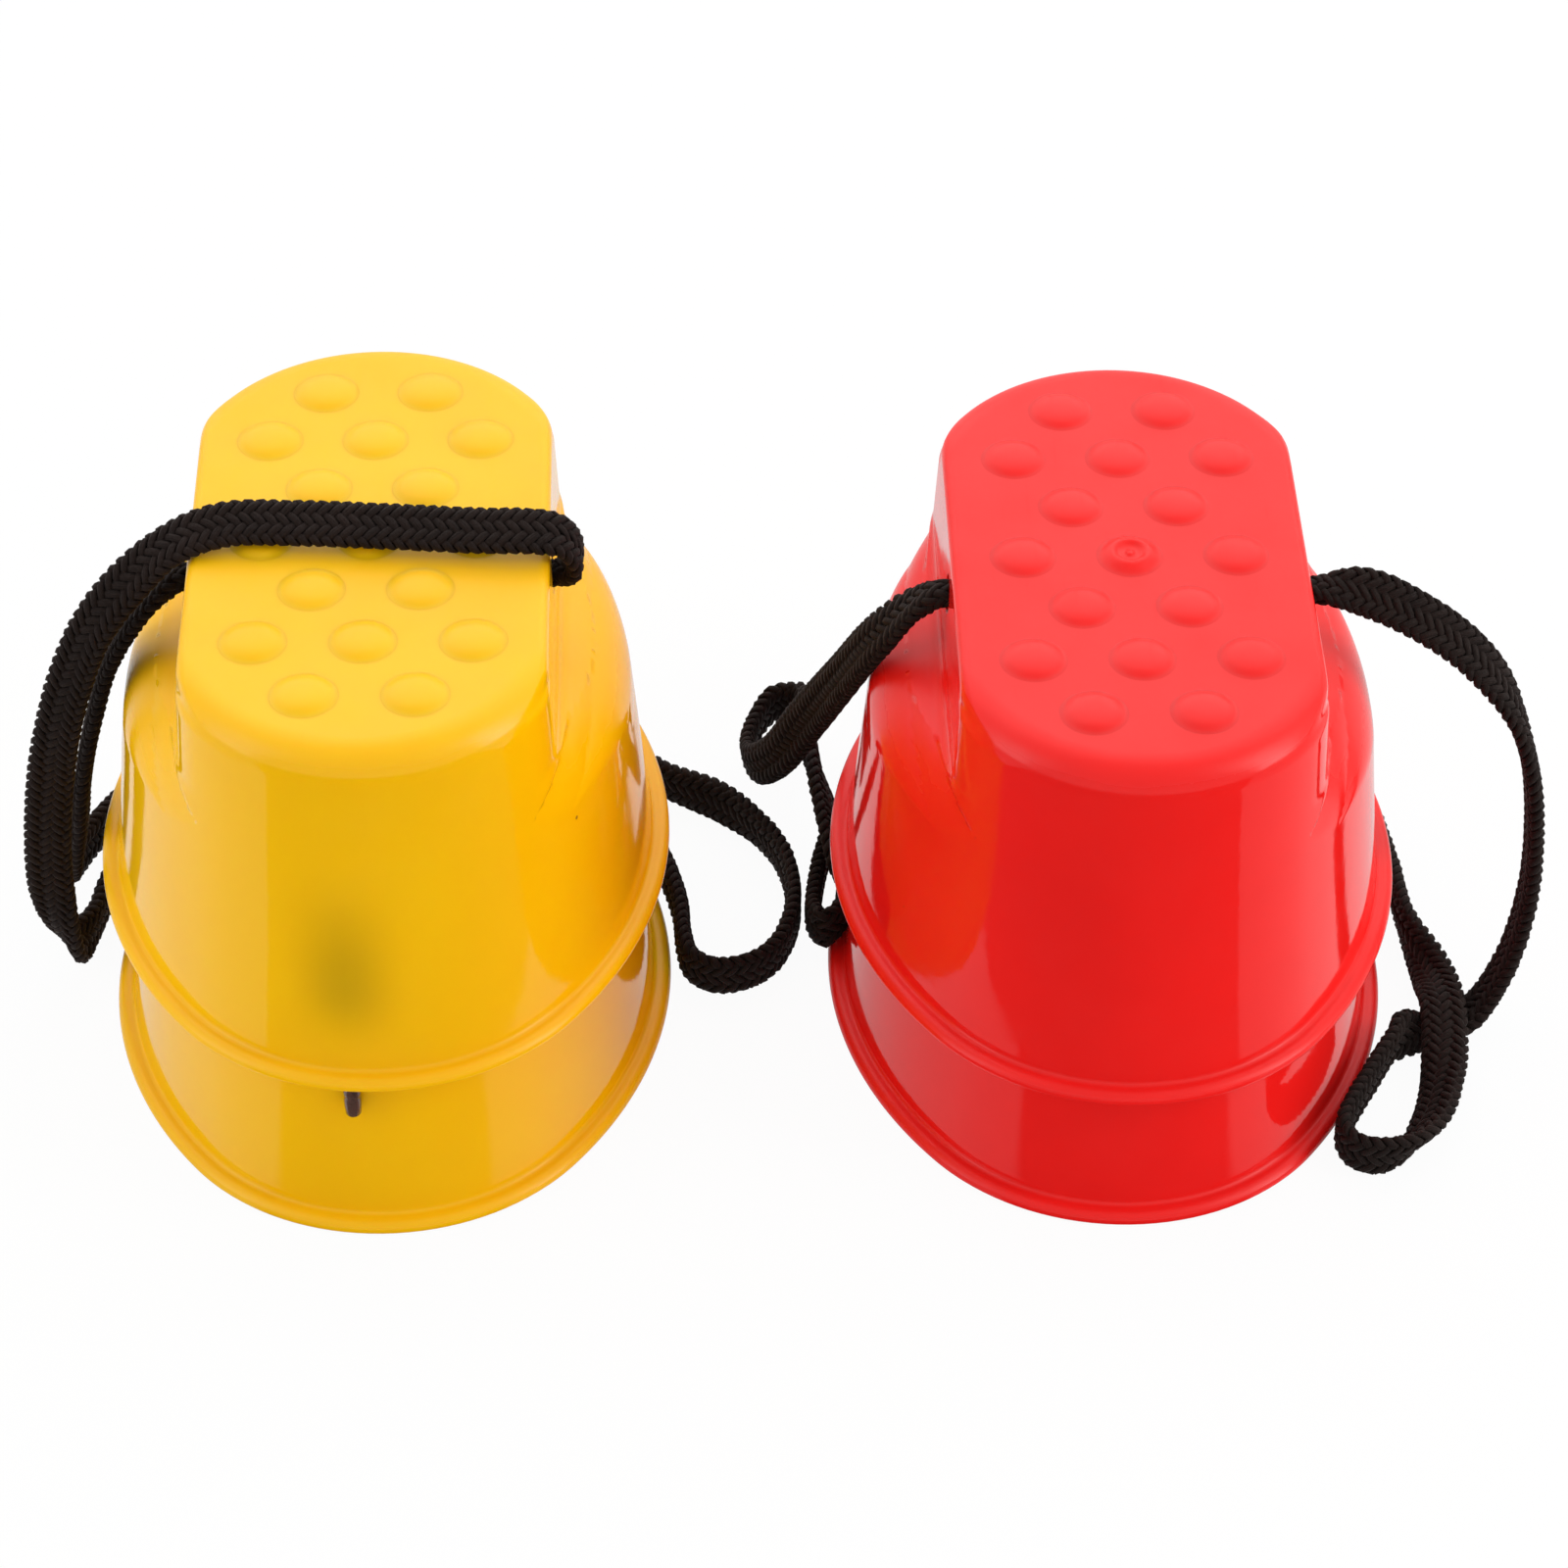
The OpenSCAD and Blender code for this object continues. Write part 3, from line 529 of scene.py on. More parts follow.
def cup_distance(x, y, z, inset):
    """Distance outside the cup's outer form, or outside its hollow where inset is the wall's thickness."""
    oval, nx = oval_distance(x, y)
    wall = (oval + z * math.tan(DRAFT) - foot_flare(z)) * math.cos(DRAFT) + inset
    # The wall and the plate, with the plate's rounded edge, and how far that edge faces up
    top = z - CUP_H + (PLATE_T if inset else 0)
    edge = EDGE_R - inset
    body = round_max(wall, top, edge)
    level = np.maximum(top + edge, TINY)
    up = level / np.hypot(np.maximum(wall + edge, TINY), level)
    # The plate's side and the shoulder, with the rounded valley between them
    ax = np.abs(x)
    side = ax - PLATE_HALF - (CUP_H - z) * SIDE_SLOPE + inset
    dx, dz = np.maximum(ax - SHOULDER_X, 0), np.maximum(z - SHOULDER_Z, 0)
    arch = np.hypot(dx, dz) - SHOULDER_R + inset - np.maximum(SHOULDER_Z - z, 0) * SHOULDER_SPREAD
    waist = -round_max(-side, -arch, VALLEY_R)
    # The corner between both, which needs less rounding where the two faces look the same way
    on_arch = ramp(side - arch, -3, 5)
    far = np.hypot(dx + STEP, dz)
    wx, wz = 1 + ((dx + STEP) / far - 1) * on_arch, dz / far * on_arch
    facing = (nx * np.sqrt(1 - up * up) * wx + up * wz) / np.hypot(wx, wz)
    corner = CORNER_R - (CORNER_R - TOP_CORNER_R) * ramp(up, 0.3, 0.85)
    soft = corner * np.clip(2.4 * (1 - facing), 0.1, 1)
    return round_max(body, waist, np.maximum(soft - inset * 0.5, 0.02))


def cup_gradient(x, y, z, inset):
    """Direction in which the distance grows."""
    slopes = [
        cup_distance(x + STEP, y, z, inset) - cup_distance(x - STEP, y, z, inset),
        cup_distance(x, y + STEP, z, inset) - cup_distance(x, y - STEP, z, inset),
        cup_distance(x, y, z + STEP, inset) - cup_distance(x, y, z - STEP, inset),
    ]
    return unit(np.stack(slopes, axis=-1))


middle = cup_distance(np.array(0.0), np.array(0.0), np.array(float(CUP_H)), 0)
print("distance at the plate's middle:", float(middle))

# %% [markdown]
# One bmesh grid makes the whole skin. Its columns stand round the oval, closer together where the plate's
# corners and the lace holes are. Its rows run from the middle of the hollow down the inside, round the
# rim and up the outside to the middle of the plate. The rim follows an outline and the lower wall its
# slope. Higher up, each vertex moves along its own ray until the distance is zero. Welding the seam
# closes the grid into a skin.

# %% Columns and rows of the skin
def stations(parts):
    """Even steps within each (end, count) part, starting from 0."""
    values, start = [0.0], 0.0
    for end, count in parts:
        values += list(start + (end - start) * (np.arange(count) + 1) / count)
        start = end
    return np.array(values)


def oval_columns():
    """Foot place, normal and ray origin of each column round the oval."""
    side_run = SIDE_R * SPLIT
    quarter = stations([(7, 10), (40, 14), (66, 36), (side_run + END_R * (math.pi / 2 - SPLIT), 14)])
    angle = np.where(quarter < side_run, quarter / SIDE_R, SPLIT + (quarter - side_run) / END_R)
    angle = np.concatenate([angle, math.pi - angle[-2::-1]])
    angle = np.concatenate([angle, angle[1:] + math.pi])
    ax = np.abs(np.arctan2(np.abs(np.sin(angle)), np.abs(np.cos(angle))))
    on_side = ax <= SPLIT
    turn = np.minimum(ax, SPLIT)
    y0 = np.where(on_side, SIDE_C * np.tan(turn), END_C) * np.sign(np.round(np.sin(angle), 9))
    reach = np.where(on_side, SIDE_R - SIDE_C / np.cos(turn), END_R)
    return np.cos(angle), np.sin(angle), y0, reach


# The rim's outline: how far outside the foot oval, and how high
LIP = [
    (0.84, 4.1), (0.89, 3.5), (1.0, 3.05), (1.22, 2.72), (1.55, 2.54), (1.95, 2.48), (2.4, 2.48),
    (2.85, 2.42), (3.3, 2.27), (3.7, 2.03), (4.05, 1.7), (4.3, 1.32), (4.45, 0.92), (4.5, 0.55),
    (4.42, 0.26), (4.2, 0.07), (3.9, 0), (2.4, 0), (1, 0), (-0.22, 0), (-0.57, 0.12), (-0.76, 0.5),
]
WALL_FOOT = 4
RAY_Z = 30
RAY_LONG = 90.0
HALVINGS = 44
WALL_ROWS = stations([(20, 8), (26, 4)])[1:] + WALL_FOOT
SHAPE_ROWS = stations([(3, 2), (36, 34), (44, 10), (57, 32), (66, 7), (90, 8)])[1:]


def skin_rows(columns, inset):
    """Places of one side of the skin, from the rim up to the middle of the plate, rows first."""
    nx, ny, y0, reach = columns
    rows = []
    for z in WALL_ROWS:
        out = reach - z * math.tan(DRAFT) + foot_flare(z) - inset / math.cos(DRAFT)
        rows.append(np.stack([nx * out, y0 + ny * out, np.full_like(out, z)], axis=-1))
    pitch = np.radians(SHAPE_ROWS)[:, None]
    near, far = np.zeros((len(SHAPE_ROWS), len(nx))), np.full((len(SHAPE_ROWS), len(nx)), RAY_LONG)
    for _ in range(HALVINGS):
        mid = (near + far) / 2
        x, y, z = nx * np.cos(pitch) * mid, y0 + ny * np.cos(pitch) * mid, RAY_Z + np.sin(pitch) * mid
        outside = cup_distance(x, y, z, inset) > 0
        near, far = np.where(outside, near, mid), np.where(outside, mid, far)
    return rows + list(np.stack([x, y, z], axis=-1))


def skin_places():
    """Places of the whole skin: hollow, rim and outside."""
    columns = oval_columns()
    nx, ny, y0, reach = columns
    lip = []
    for off, z in LIP:
        lip.append(np.stack([nx * (reach + off), y0 + ny * (reach + off), np.full_like(nx, z)], axis=-1))
    return np.array(skin_rows(columns, WALL)[::-1] + lip[::-1] + skin_rows(columns, 0))


SKIN = skin_places()
print("skin:", SKIN.shape[0], "rows of", SKIN.shape[1], "columns,", round(SKIN[:, :, 2].max(), 2), "mm high")


# %% [markdown]
# The grip bumps are spun domes that sink into the plate, so that the skin keeps its even grid. The middle
# one has a small crater, the mark that the mould's inlet leaves. The two lace holes are opened in both
# skins, and a bridge between the two edges makes each a short tunnel.

# %% Bumps of the foot plate
BUMP_ROWS = 7
BUMP_STEP = 21
ROW_STEP = 15.9
BUMP_STEPS = 40
# Outlines of (radius, height above the plate), down to a base that is sunk in the plate
BUMP_DOME = [
    (0, 1.5), (1.2, 1.48), (2.4, 1.4), (3.4, 1.24), (4.2, 1.02), (4.8, 0.78), (5.3, 0.52), (5.7, 0.28),
    (6.1, 0.11), (6.5, 0.02), (6.8, -0.06), (6.8, -0.6), (0, -0.6),
]
BUMP_CRATER = [
    (0, 1.12), (0.45, 1.1), (0.75, 0.94), (0.9, 0.72), (1.6, 0.66), (2.3, 0.8), (2.8, 1.1), (3.15, 1.42),
    (3.55, 1.56), (4.0, 1.4), (4.5, 1.1), (5.0, 0.76), (5.4, 0.48), (5.8, 0.25), (6.2, 0.09), (6.5, 0.02),
    (6.8, -0.06), (6.8, -0.6), (0, -0.6),
]


def spin_outline(bm, outline, x, y, z, steps):
    """Spins an outline of (radius, height) about an upright axis into a closed form."""
    spine = [bm.verts.new((x + radius, y, z + height)) for radius, height in outline]
    edges = [bm.edges.new(pair) for pair in zip(spine, spine[1:])]
    bmesh.ops.spin(
        bm, geom=spine + edges, cent=(x, y, 0), axis=(0, 0, 1), angle=2 * math.pi, steps=steps, use_merge=True
    )


def add_bumps(bm):
    """Adds the rows of bumps, two and three in turn, with the crater in the middle one."""
    for row in range(BUMP_ROWS):
        count = 2 + row % 2
        for i in range(count):
            x, y = (i - (count - 1) / 2) * BUMP_STEP, (row - (BUMP_ROWS - 1) / 2) * ROW_STEP
            outline = BUMP_CRATER if x == 0 and y == 0 else BUMP_DOME
            spin_outline(bm, outline, x, y, CUP_H, BUMP_STEPS)


# %% Lace holes
def cut_hole(bm, side):
    """Opens both skins round a lace hole, draws the edges onto a circle and bridges them."""
    inside = []
    for face in bm.faces:
        middle = face.calc_center_median()
        if middle.x * side > 0 and math.hypot(middle.y, middle.z - HOLE_Z) < HOLE_R:
            inside.append(face)
    bmesh.ops.delete(bm, geom=inside, context="FACES")
    edges = [e for e in bm.edges if e.is_boundary]
    for vert in {v for e in edges for v in e.verts}:
        y, z = vert.co.y, vert.co.z - HOLE_Z
        grow = HOLE_R / math.hypot(y, z)
        depth = WALL if abs(vert.co.x) < PLATE_HALF - WALL / 2 else 0
        vert.co.y, vert.co.z = y * grow, HOLE_Z + z * grow
        vert.co.x = side * (PLATE_HALF + (CUP_H - vert.co.z) * SIDE_SLOPE - depth)
    bmesh.ops.bridge_loops(bm, edges=edges)


# %% Make a cup
SKIN_GAP = 0.002


def cup_mesh(name, place):
    """A whole cup as one mesh, at its place in metres."""
    rows, columns = SKIN.shape[:2]
    mesh, step, share, _ = grid_mesh(name, rows - 1, columns - 1, 1, "skin")
    mesh.vertices.foreach_set("co", SKIN[step, np.rint(share * (columns - 1)).astype(int)].ravel())
    bm = bmesh.new()
    bm.from_mesh(mesh)
    bmesh.ops.remove_doubles(bm, verts=bm.verts, dist=SKIN_GAP)
    bmesh.ops.dissolve_degenerate(bm, edges=bm.edges, dist=SKIN_GAP / 2)
    for side in (-1, 1):
        cut_hole(bm, side)
    bmesh.ops.recalc_face_normals(bm, faces=bm.faces)
    skin_count = len(bm.verts)
    domes = bmesh.new()
    add_bumps(domes)
    bmesh.ops.remove_doubles(domes, verts=domes.verts, dist=SKIN_GAP)
    bmesh.ops.recalc_face_normals(domes, faces=domes.faces)
    dome_mesh = to_mesh(domes, "domes")
    bm.from_mesh(dome_mesh)
    bpy.data.meshes.remove(dome_mesh)
    for face in bm.faces:
        face.smooth = True
    open_edges = sum(1 for e in bm.edges if not e.is_manifold)
    bm.to_mesh(mesh)
    bm.free()
    form_normals(mesh, skin_count)
    mesh.transform(Matrix.Translation(place) @ Matrix.Scale(MM, 4))
    print(name, sum(len(p.vertices) - 2 for p in mesh.polygons), "triangles,", open_edges, "open edges")
    return mesh


def form_normals(mesh, skin_count):
    """Gives the skin the true normals of the form, so that reflections run smoothly over it."""
    x, y, z = vertex_values(mesh, "co").T
    normals = vertex_values(mesh, "normal")
    skin = np.arange(len(normals)) < skin_count
    for inset, way in ((0, 1), (WALL, -1)):
        on = skin & (np.abs(cup_distance(x, y, z, inset)) < STEP) & (z > WALL_FOOT + 0.05)
        normals[on] = cup_gradient(x[on], y[on], z[on], inset) * way
    mesh.normals_split_custom_set_from_vertices(normals.tolist())


CUP_PLACES = {
    "yellow_lower": (-STACK_X, YELLOW_LEAN, 0),
    "yellow_upper": (-STACK_X, -YELLOW_LEAN, YELLOW_NEST),
    "red_lower": (STACK_X, 0, 0),
    "red_upper": (STACK_X, 0, RED_NEST),
}
cups = {}
for stilt, place in CUP_PLACES.items():
    name, colour = stilt + "_moulded_cup", stilt.split("_")[0]
    cup = link(name, cup_mesh(name, place), stilt + "_stilt")
    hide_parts(stilt + "_cup")
    cups[stilt] = cup

# %% [markdown]
# Behind each hole the lace is stopped by an overhand knot, and its short end carries a crimped plastic
# tip. A knot is the same braid on a knotted path, so it is made by the same maker as the lace, from a
# curve that winds twice round while it dips three times, and then runs on as the tail.

# %% Knots with their tails
KNOT_X = 0.03337
KNOT_LONG = 0.011
KNOT_POINTS = 25
KNOT_STEP = 0.0013
# The knot's ring, how far it grows and shrinks, and how far it sways along the hole's axis
KNOT_RING, KNOT_PULSE, KNOT_SWAY = 0.0030, 0.0013, 0.0024
# Where the knot's curve starts, and how much of a whole turn it leaves open
KNOT_START, KNOT_OPEN = 0.35, 0.5
# Half width and half thickness of the drawn-up braid in the knot
KNOT_HALF, KNOT_THIN = 0.0024, 0.0017
# The tail: how far from the knot, half width, half thickness
TAIL_ROWS = [
    (0.0075, 0.0036, 0.0018),
    (0.012, 0.0046, 0.0017),
    (0.02, 0.0047, 0.0016),
    (0.0265, 0.0024, 0.0016),
]


def knot_table(place, side, swing, tailed):
    """Rows of a knot behind a hole, with its tail turned by the swing about the hole's axis."""
    turn = Matrix.Rotation(math.radians(swing), 3, "X")
    rows = []
    for i in range(KNOT_POINTS):
        t = KNOT_START + (2 * math.pi - KNOT_OPEN) * i / (KNOT_POINTS - 1)
        ring = KNOT_RING + KNOT_PULSE * math.cos(3 * t)
        along = -KNOT_LONG / 2 + KNOT_SWAY * math.sin(3 * t)
        spot = Vector((along, ring * math.sin(2 * t), ring * math.cos(2 * t)))
        rows.append((turn @ spot, turn @ Vector((1, 0, 0)), KNOT_HALF, KNOT_THIN))
    if tailed:
        for drop, half, thin in TAIL_ROWS:
            rows.append((turn @ Vector((-KNOT_LONG / 2, 0, -drop)), turn @ Vector((0, 1, 0)), half, thin))
    table = np.array([(*spot, *width, half, thin) for spot, width, half, thin in rows])
    table[:, (0, 3)] *= side
    table[:, 0] += side * KNOT_X
    table[:, 2] += HOLE_Z * MM
    table[:, :3] += np.array(place)
    return table


# %% Lace tips
TIP_LONG = 0.015
TIP_WIDE = 0.0036
TIP_STEPS = 32
# Half outline of a tip as shares of its width and length, with two crimps
TIP_OUTLINE = [
    (0, 0), (0.26, 0.008), (0.38, 0.03), (0.44, 0.08), (0.47, 0.3), (0.48, 0.55), (0.45, 0.6), (0.45, 0.66),
    (0.48, 0.7), (0.48, 0.8), (0.44, 0.85), (0.44, 0.9), (0.5, 0.96), (0.48, 1), (0, 1),
]


def add_tip(name, body, low, high):
    """A spun lace tip between two places: a crimped sleeve with a rounded end."""
    bm = bmesh.new()
    long = (high - low).length
    spin_outline(bm, [(r * TIP_WIDE, z * long) for r, z in TIP_OUTLINE], 0, 0, 0, TIP_STEPS)
    bmesh.ops.remove_doubles(bm, verts=bm.verts, dist=SEAM_GAP)
    bmesh.ops.recalc_face_normals(bm, faces=bm.faces)
    for face in bm.faces:
        face.smooth = True
    aim = (high - low).to_track_quat("Z", "Y").to_matrix().to_4x4()
    bmesh.ops.transform(bm, matrix=Matrix.Translation(low) @ aim, verts=bm.verts)
    return link(name, to_mesh(bm, name), body)


# %% Knots and tips of the four stilts
TAIL_SWINGS = {"yellow_lower": (0, 0), "yellow_upper": (80, 80), "red_lower": (0, 0), "red_upper": (-80, 80)}
knot_pieces = {}
for stilt, place in CUP_PLACES.items():
    made = []
    for side, hand, swing in zip((-1, 1), ("left", "right"), TAIL_SWINGS[stilt]):
        long_tail = stilt == "yellow_upper" and hand == "left"
        table = knot_table(place, side, swing, not long_tail)
        knot, _, _ = braided_piece(stilt + "_" + hand + "_stop_knot", table, KNOT_STEP, stilt + "_stilt")
        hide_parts(stilt + "_knot_" + hand)
        made.append(knot)
        if not long_tail:
            low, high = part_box(stilt + "_tip_" + hand)
            middle = (low + high) / 2
            reach = Matrix.Rotation(math.radians(swing), 3, "X") @ Vector((0, 0, TIP_LONG / 2))
            name = stilt + "_" + hand + "_lace_tip"
            tip = add_tip(name, stilt + "_stilt", middle - reach, middle + reach)
            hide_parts(stilt + "_tip_" + hand)
            made.append(tip)
    knot_pieces[stilt] = made
print("knots and tips:", sum(len(made) for made in knot_pieces.values()))

# %% [markdown]
# One end of the yellow upper lace is long. It lies over the lower cup's plate, is pinched flat between
# the two walls at the front, and its brown tip looks out below the upper rim.

# %% The caught tail and its tip
TAIL_FOOT_X = -4.5
TAIL_PINCH_Z = (75, 62, 50, 39.2)
TIP_TOP_Z = 37.5
CAUGHT_TIP = 8
TIP_OFF = 0.3
TAIL_STEP = 0.0009
# Half width and half thickness where the walls pinch the tail, and where it enters its tip
PINCHED = (0.004, 0.00036)
AT_TIP = (0.0017, 0.0015)
FRONT_GAP = YELLOW_NEST / MM * math.tan(DRAFT) - WALL / math.cos(DRAFT) + 2 * YELLOW_LEAN / MM


def front_y(z, off):
    """Place in front of the lower wall at a height, a distance outside it."""
    return -END_C - math.sqrt((END_R - z * math.tan(DRAFT) + off) ** 2 - TAIL_FOOT_X**2)


def tail_table():
    """Rows of the caught tail: over the lower plate, down between the walls and into its tip."""
    place = np.array((-STACK_X, YELLOW_LEAN, 0))
    rows = [(*row[:3], *Vector(row[3:]).normalized(), LACE_WIDTH / 2, LACE_THICK / 2) for row in TAIL_ROUTE]
    tip_y = front_y(TIP_TOP_Z - CAUGHT_TIP, TIP_WIDE / MM / 2 + TIP_OFF)
    across = Vector((-END_C - tip_y, TAIL_FOOT_X, 0)).normalized()
    for z in TAIL_PINCH_Z:
        rows.append((TAIL_FOOT_X * MM, front_y(z, FRONT_GAP / 2) * MM, z * MM, *across, *PINCHED))
    rows.append((TAIL_FOOT_X * MM, tip_y * MM, TIP_TOP_Z * MM, *across, *AT_TIP))
    table = np.array(rows)
    table[:, :3] += place
    return table


caught_tail, tail_path, tail_length = braided_piece(
    "yellow_caught_tail", tail_table(), TAIL_STEP, "yellow_upper_stilt"
)
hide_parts("yellow_upper_tail")
low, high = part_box("yellow_upper_tip_left")
foot = Vector(((low.x + high.x) / 2, (low.y + high.y) / 2, low.z))
head = foot + Vector((0, 0, high.z - low.z))
caught_tip = add_tip("yellow_caught_tip", "yellow_upper_stilt", foot, head)
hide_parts("yellow_upper_tip_left")

# %% [markdown]
# The plastic lets some light through, so the caught tail shows as a soft olive patch on the outside of
# the yellow wall. Real translucency would need a thin wall that light crosses many times, which renders
# slowly and full of noise. So this shade is painted: a value on the mesh's own vertices says where the
# tail lies behind the wall, and the plastic's colour is painted darker there.

# %% The tail's painted shade on the wall
# Half width of the painted shade across the front wall
SHADE_HALF = 0.0135
# Heights at which the painted shade starts, is full, begins to fade and has gone
SHADE_START, SHADE_FULL, SHADE_FADE, SHADE_END = 0.046, 0.062, 0.064, 0.094


def paint_tail_shade(mesh, middle):
    """Writes how much painted shade of the caught tail darkens the front wall at each vertex."""
    x, y, z = vertex_values(mesh, "co").T
    across = 1 - ramp(np.abs(x - middle), 0, SHADE_HALF)
    along = ramp(z, SHADE_START, SHADE_FULL) * (1 - ramp(z, SHADE_FADE, SHADE_END))
    value = across * along * (y < 0)
    mesh.attributes.new("painted_tail_shade", "FLOAT", "POINT").data.foreach_set("value", value)
    return np.count_nonzero(value)


print("shade on", paint_tail_shade(cups["yellow_upper"].data, -STACK_X + TAIL_FOOT_X * MM), "vertices")

# %% [markdown]
# On the real object the laces bend freely. The maker of each braid gives back its length and the line
# that it follows.

print("cords:", 3 + len(stowed), "declared")

# %% [markdown]
# Finishes. The plastic is glossy, a little translucent and worn: a faint change of tone, fine scuffs
# where shoes rub, dust specks, and the slight ripple of a moulded skin. Each such effect is a small node
# group that gives only what varies over the surface. What is the same all over sits on the shader itself.

# %% Node helpers
def new_group(name, inputs, outputs):
    """A shader node group with its sockets and its input and output nodes."""
    group = bpy.data.node_groups.new(name, "ShaderNodeTree")
    for title, kind, value in inputs:
        socket = group.interface.new_socket(title, in_out="INPUT", socket_type=kind)
        socket.default_value = value
    for title, kind in outputs:
        group.interface.new_socket(title, in_out="OUTPUT", socket_type=kind)
    return group, group.nodes.new("NodeGroupInput"), group.nodes.new("NodeGroupOutput")


def add(tree, kind, **values):
    """A node with its settings. Its inputs are set by name or place, or linked where a socket is given."""
    node = tree.nodes.new("ShaderNode" + kind)
    for key, value in values.pop("sockets", {}).items():
        if isinstance(value, bpy.types.NodeSocket):
            tree.links.new(value, node.inputs[key])
        else:
            node.inputs[key].default_value = value
    for key, value in values.items():
        setattr(node, key, value)
    return node


def noise(tree, place, scale, detail=3, rough=0.5):
    """Soft random values at a place."""
    values = {"Vector": place, "Scale": scale, "Detail": detail, "Roughness": rough}
    return add(tree, "TexNoise", sockets=values).outputs["Fac"]


def scaled(tree, place, scale, turn=(0, 0, 0)):
    """A place, turned and stretched."""
    return add(tree, "Mapping", sockets={"Vector": place, "Scale": scale, "Rotation": turn}).outputs[0]


def span(tree, value, low, high, to_low, to_high):
    """The value's range low to high, turned into to_low to to_high and held there."""
    return add(
        tree, "MapRange", interpolation_type="SMOOTHSTEP",
        sockets={"Value": value, "From Min": low, "From Max": high, "To Min": to_low, "To Max": to_high},
    ).outputs["Result"]


def math_node(tree, kind, a, b=0):
    """The result of a Math node."""
    return add(tree, "Math", operation=kind, sockets={0: a, 1: b}).outputs[0]


def mix_colour(tree, share, a, b):
    """Colour a turned into colour b by a share."""
    node = add(tree, "Mix", data_type="RGBA", blend_type="MIX")
    for place, value in ((0, share), (6, a), (7, b)):
        if isinstance(value, bpy.types.NodeSocket):
            tree.links.new(value, node.inputs[place])
        else:
            node.inputs[place].default_value = value
    return node.outputs[2]


def add_relief(tree, shader, height, strength, distance):
    """Lets a height value tilt the shader's normal."""
    bump = add(tree, "Bump", sockets={"Height": height, "Strength": strength, "Distance": distance})
    tree.links.new(bump.outputs["Normal"], shader.inputs["Normal"])


# %% Group for the moulded plastic
def plastic_group():
    """Tone, roughness and ripple of a worn moulded skin. Faces that look up are duller than the walls."""
    group, source, sink = new_group(
        "moulded_skin",
        [("Tone", "NodeSocketColor", (0.8, 0.5, 0, 1)), ("Shade", "NodeSocketColor", (0.5, 0.3, 0, 1))],
        [("Colour", "NodeSocketColor"), ("Roughness", "NodeSocketFloat"), ("Height", "NodeSocketFloat")],
    )
    place = add(group, "TexCoord").outputs["Object"]
    normal = add(group, "NewGeometry").outputs["Normal"]
    up = add(group, "SeparateXYZ", sockets={0: normal}).outputs["Z"]
    cloud = noise(group, place, 28, 3, 0.55)
    clouded = span(group, cloud, 0.35, 0.7, 0, 0.35)
    toned = mix_colour(group, clouded, source.outputs["Tone"], source.outputs["Shade"])
    grit = add(group, "TexVoronoi", sockets={"Vector": place, "Scale": 90}).outputs["Distance"]
    patch = noise(group, place, 45, 2, 0.5)
    dots, places = span(group, grit, 0.03, 0.05, 1, 0), span(group, patch, 0.62, 0.66, 0, 1)
    speck = math_node(group, "MULTIPLY", dots, places)
    specked = mix_colour(group, math_node(group, "MULTIPLY", speck, 0.75), toned, (0.1, 0.045, 0.01, 1))
    group.links.new(specked, sink.inputs["Colour"])
    stretched = scaled(group, place, (900, 60, 300), (0.2, 0.3, 0.9))
    scuff = span(group, noise(group, stretched, 1, 4, 0.6), 0.56, 0.74, 0, 1)
    worn = math_node(group, "MULTIPLY", scuff, span(group, up, 0.4, 0.9, 0.04, 0.2))
    base = span(group, up, 0.15, 0.85, 0.05, 0.38)
    smear = span(group, noise(group, place, 60, 4, 0.6), 0.35, 0.75, 0, 0.07)
    smeared = math_node(group, "ADD", base, smear)
    rough = math_node(group, "ADD", smeared, math_node(group, "MULTIPLY", worn, 0.3))
    group.links.new(rough, sink.inputs["Roughness"])
    peel = noise(group, place, 420, 2, 0.5)
    wave = noise(group, place, 75, 2, 0.4)
    ripple = math_node(group, "ADD", math_node(group, "MULTIPLY", peel, 0.25), wave)
    height = math_node(group, "SUBTRACT", ripple, math_node(group, "MULTIPLY", worn, 0.35))
    group.links.new(height, sink.inputs["Height"])
    return group


MOULDED_SKIN = plastic_group()


def principled(name):
    """A new material and its shader."""
    material = bpy.data.materials.new(name)
    material.use_nodes = True
    return material, material.node_tree, material.node_tree.nodes["Principled BSDF"]


# Tint of the painted shade, where the caught tail lies behind the wall
PAINTED_SHADE_TINT = (0.72, 0.85, 0.5)


def plastic(name, tone, shade, glow):
    """A plastic of two close tones, with the tint of the light that spreads below its surface."""
    material, tree, shader = principled(name)
    skin = add(tree, "Group", node_tree=MOULDED_SKIN)
    skin.inputs["Tone"].default_value = (*tone, 1)
    skin.inputs["Shade"].default_value = (*shade, 1)
    # Painted shade: the colour turns darker where the caught tail lies behind the wall
    tail_shade_share = add(tree, "Attribute", attribute_name="painted_tail_shade").outputs["Fac"]
    painted_shade_colour = tuple(c * k for c, k in zip(shade, PAINTED_SHADE_TINT))
    tree.links.new(mix_colour(tree, tail_shade_share, skin.outputs["Colour"], (*painted_shade_colour, 1)), shader.inputs["Base Color"])
    tree.links.new(skin.outputs["Roughness"], shader.inputs["Roughness"])
    add_relief(tree, shader, skin.outputs["Height"], 0.12, 0.0006)
    shader.inputs["IOR"].default_value = 1.5
    shader.inputs["Specular IOR Level"].default_value = 0.26
    shader.inputs["Subsurface Weight"].default_value = 0.22
    shader.inputs["Subsurface Radius"].default_value = glow
    shader.inputs["Subsurface Scale"].default_value = 0.0025
    return material


YELLOW_PLASTIC = plastic("yellow_plastic", (0.92, 0.5, 0.001), (0.86, 0.42, 0.0005), (1.0, 0.5, 0.03))
RED_PLASTIC = plastic("red_plastic", (0.84, 0.012, 0.01), (0.74, 0.008, 0.007), (1.0, 0.1, 0.06))
for stilt, cup in cups.items():
    cup.data.materials.append(YELLOW_PLASTIC if stilt.startswith("yellow") else RED_PLASTIC)
print("plastic on", len(cups), "cups")

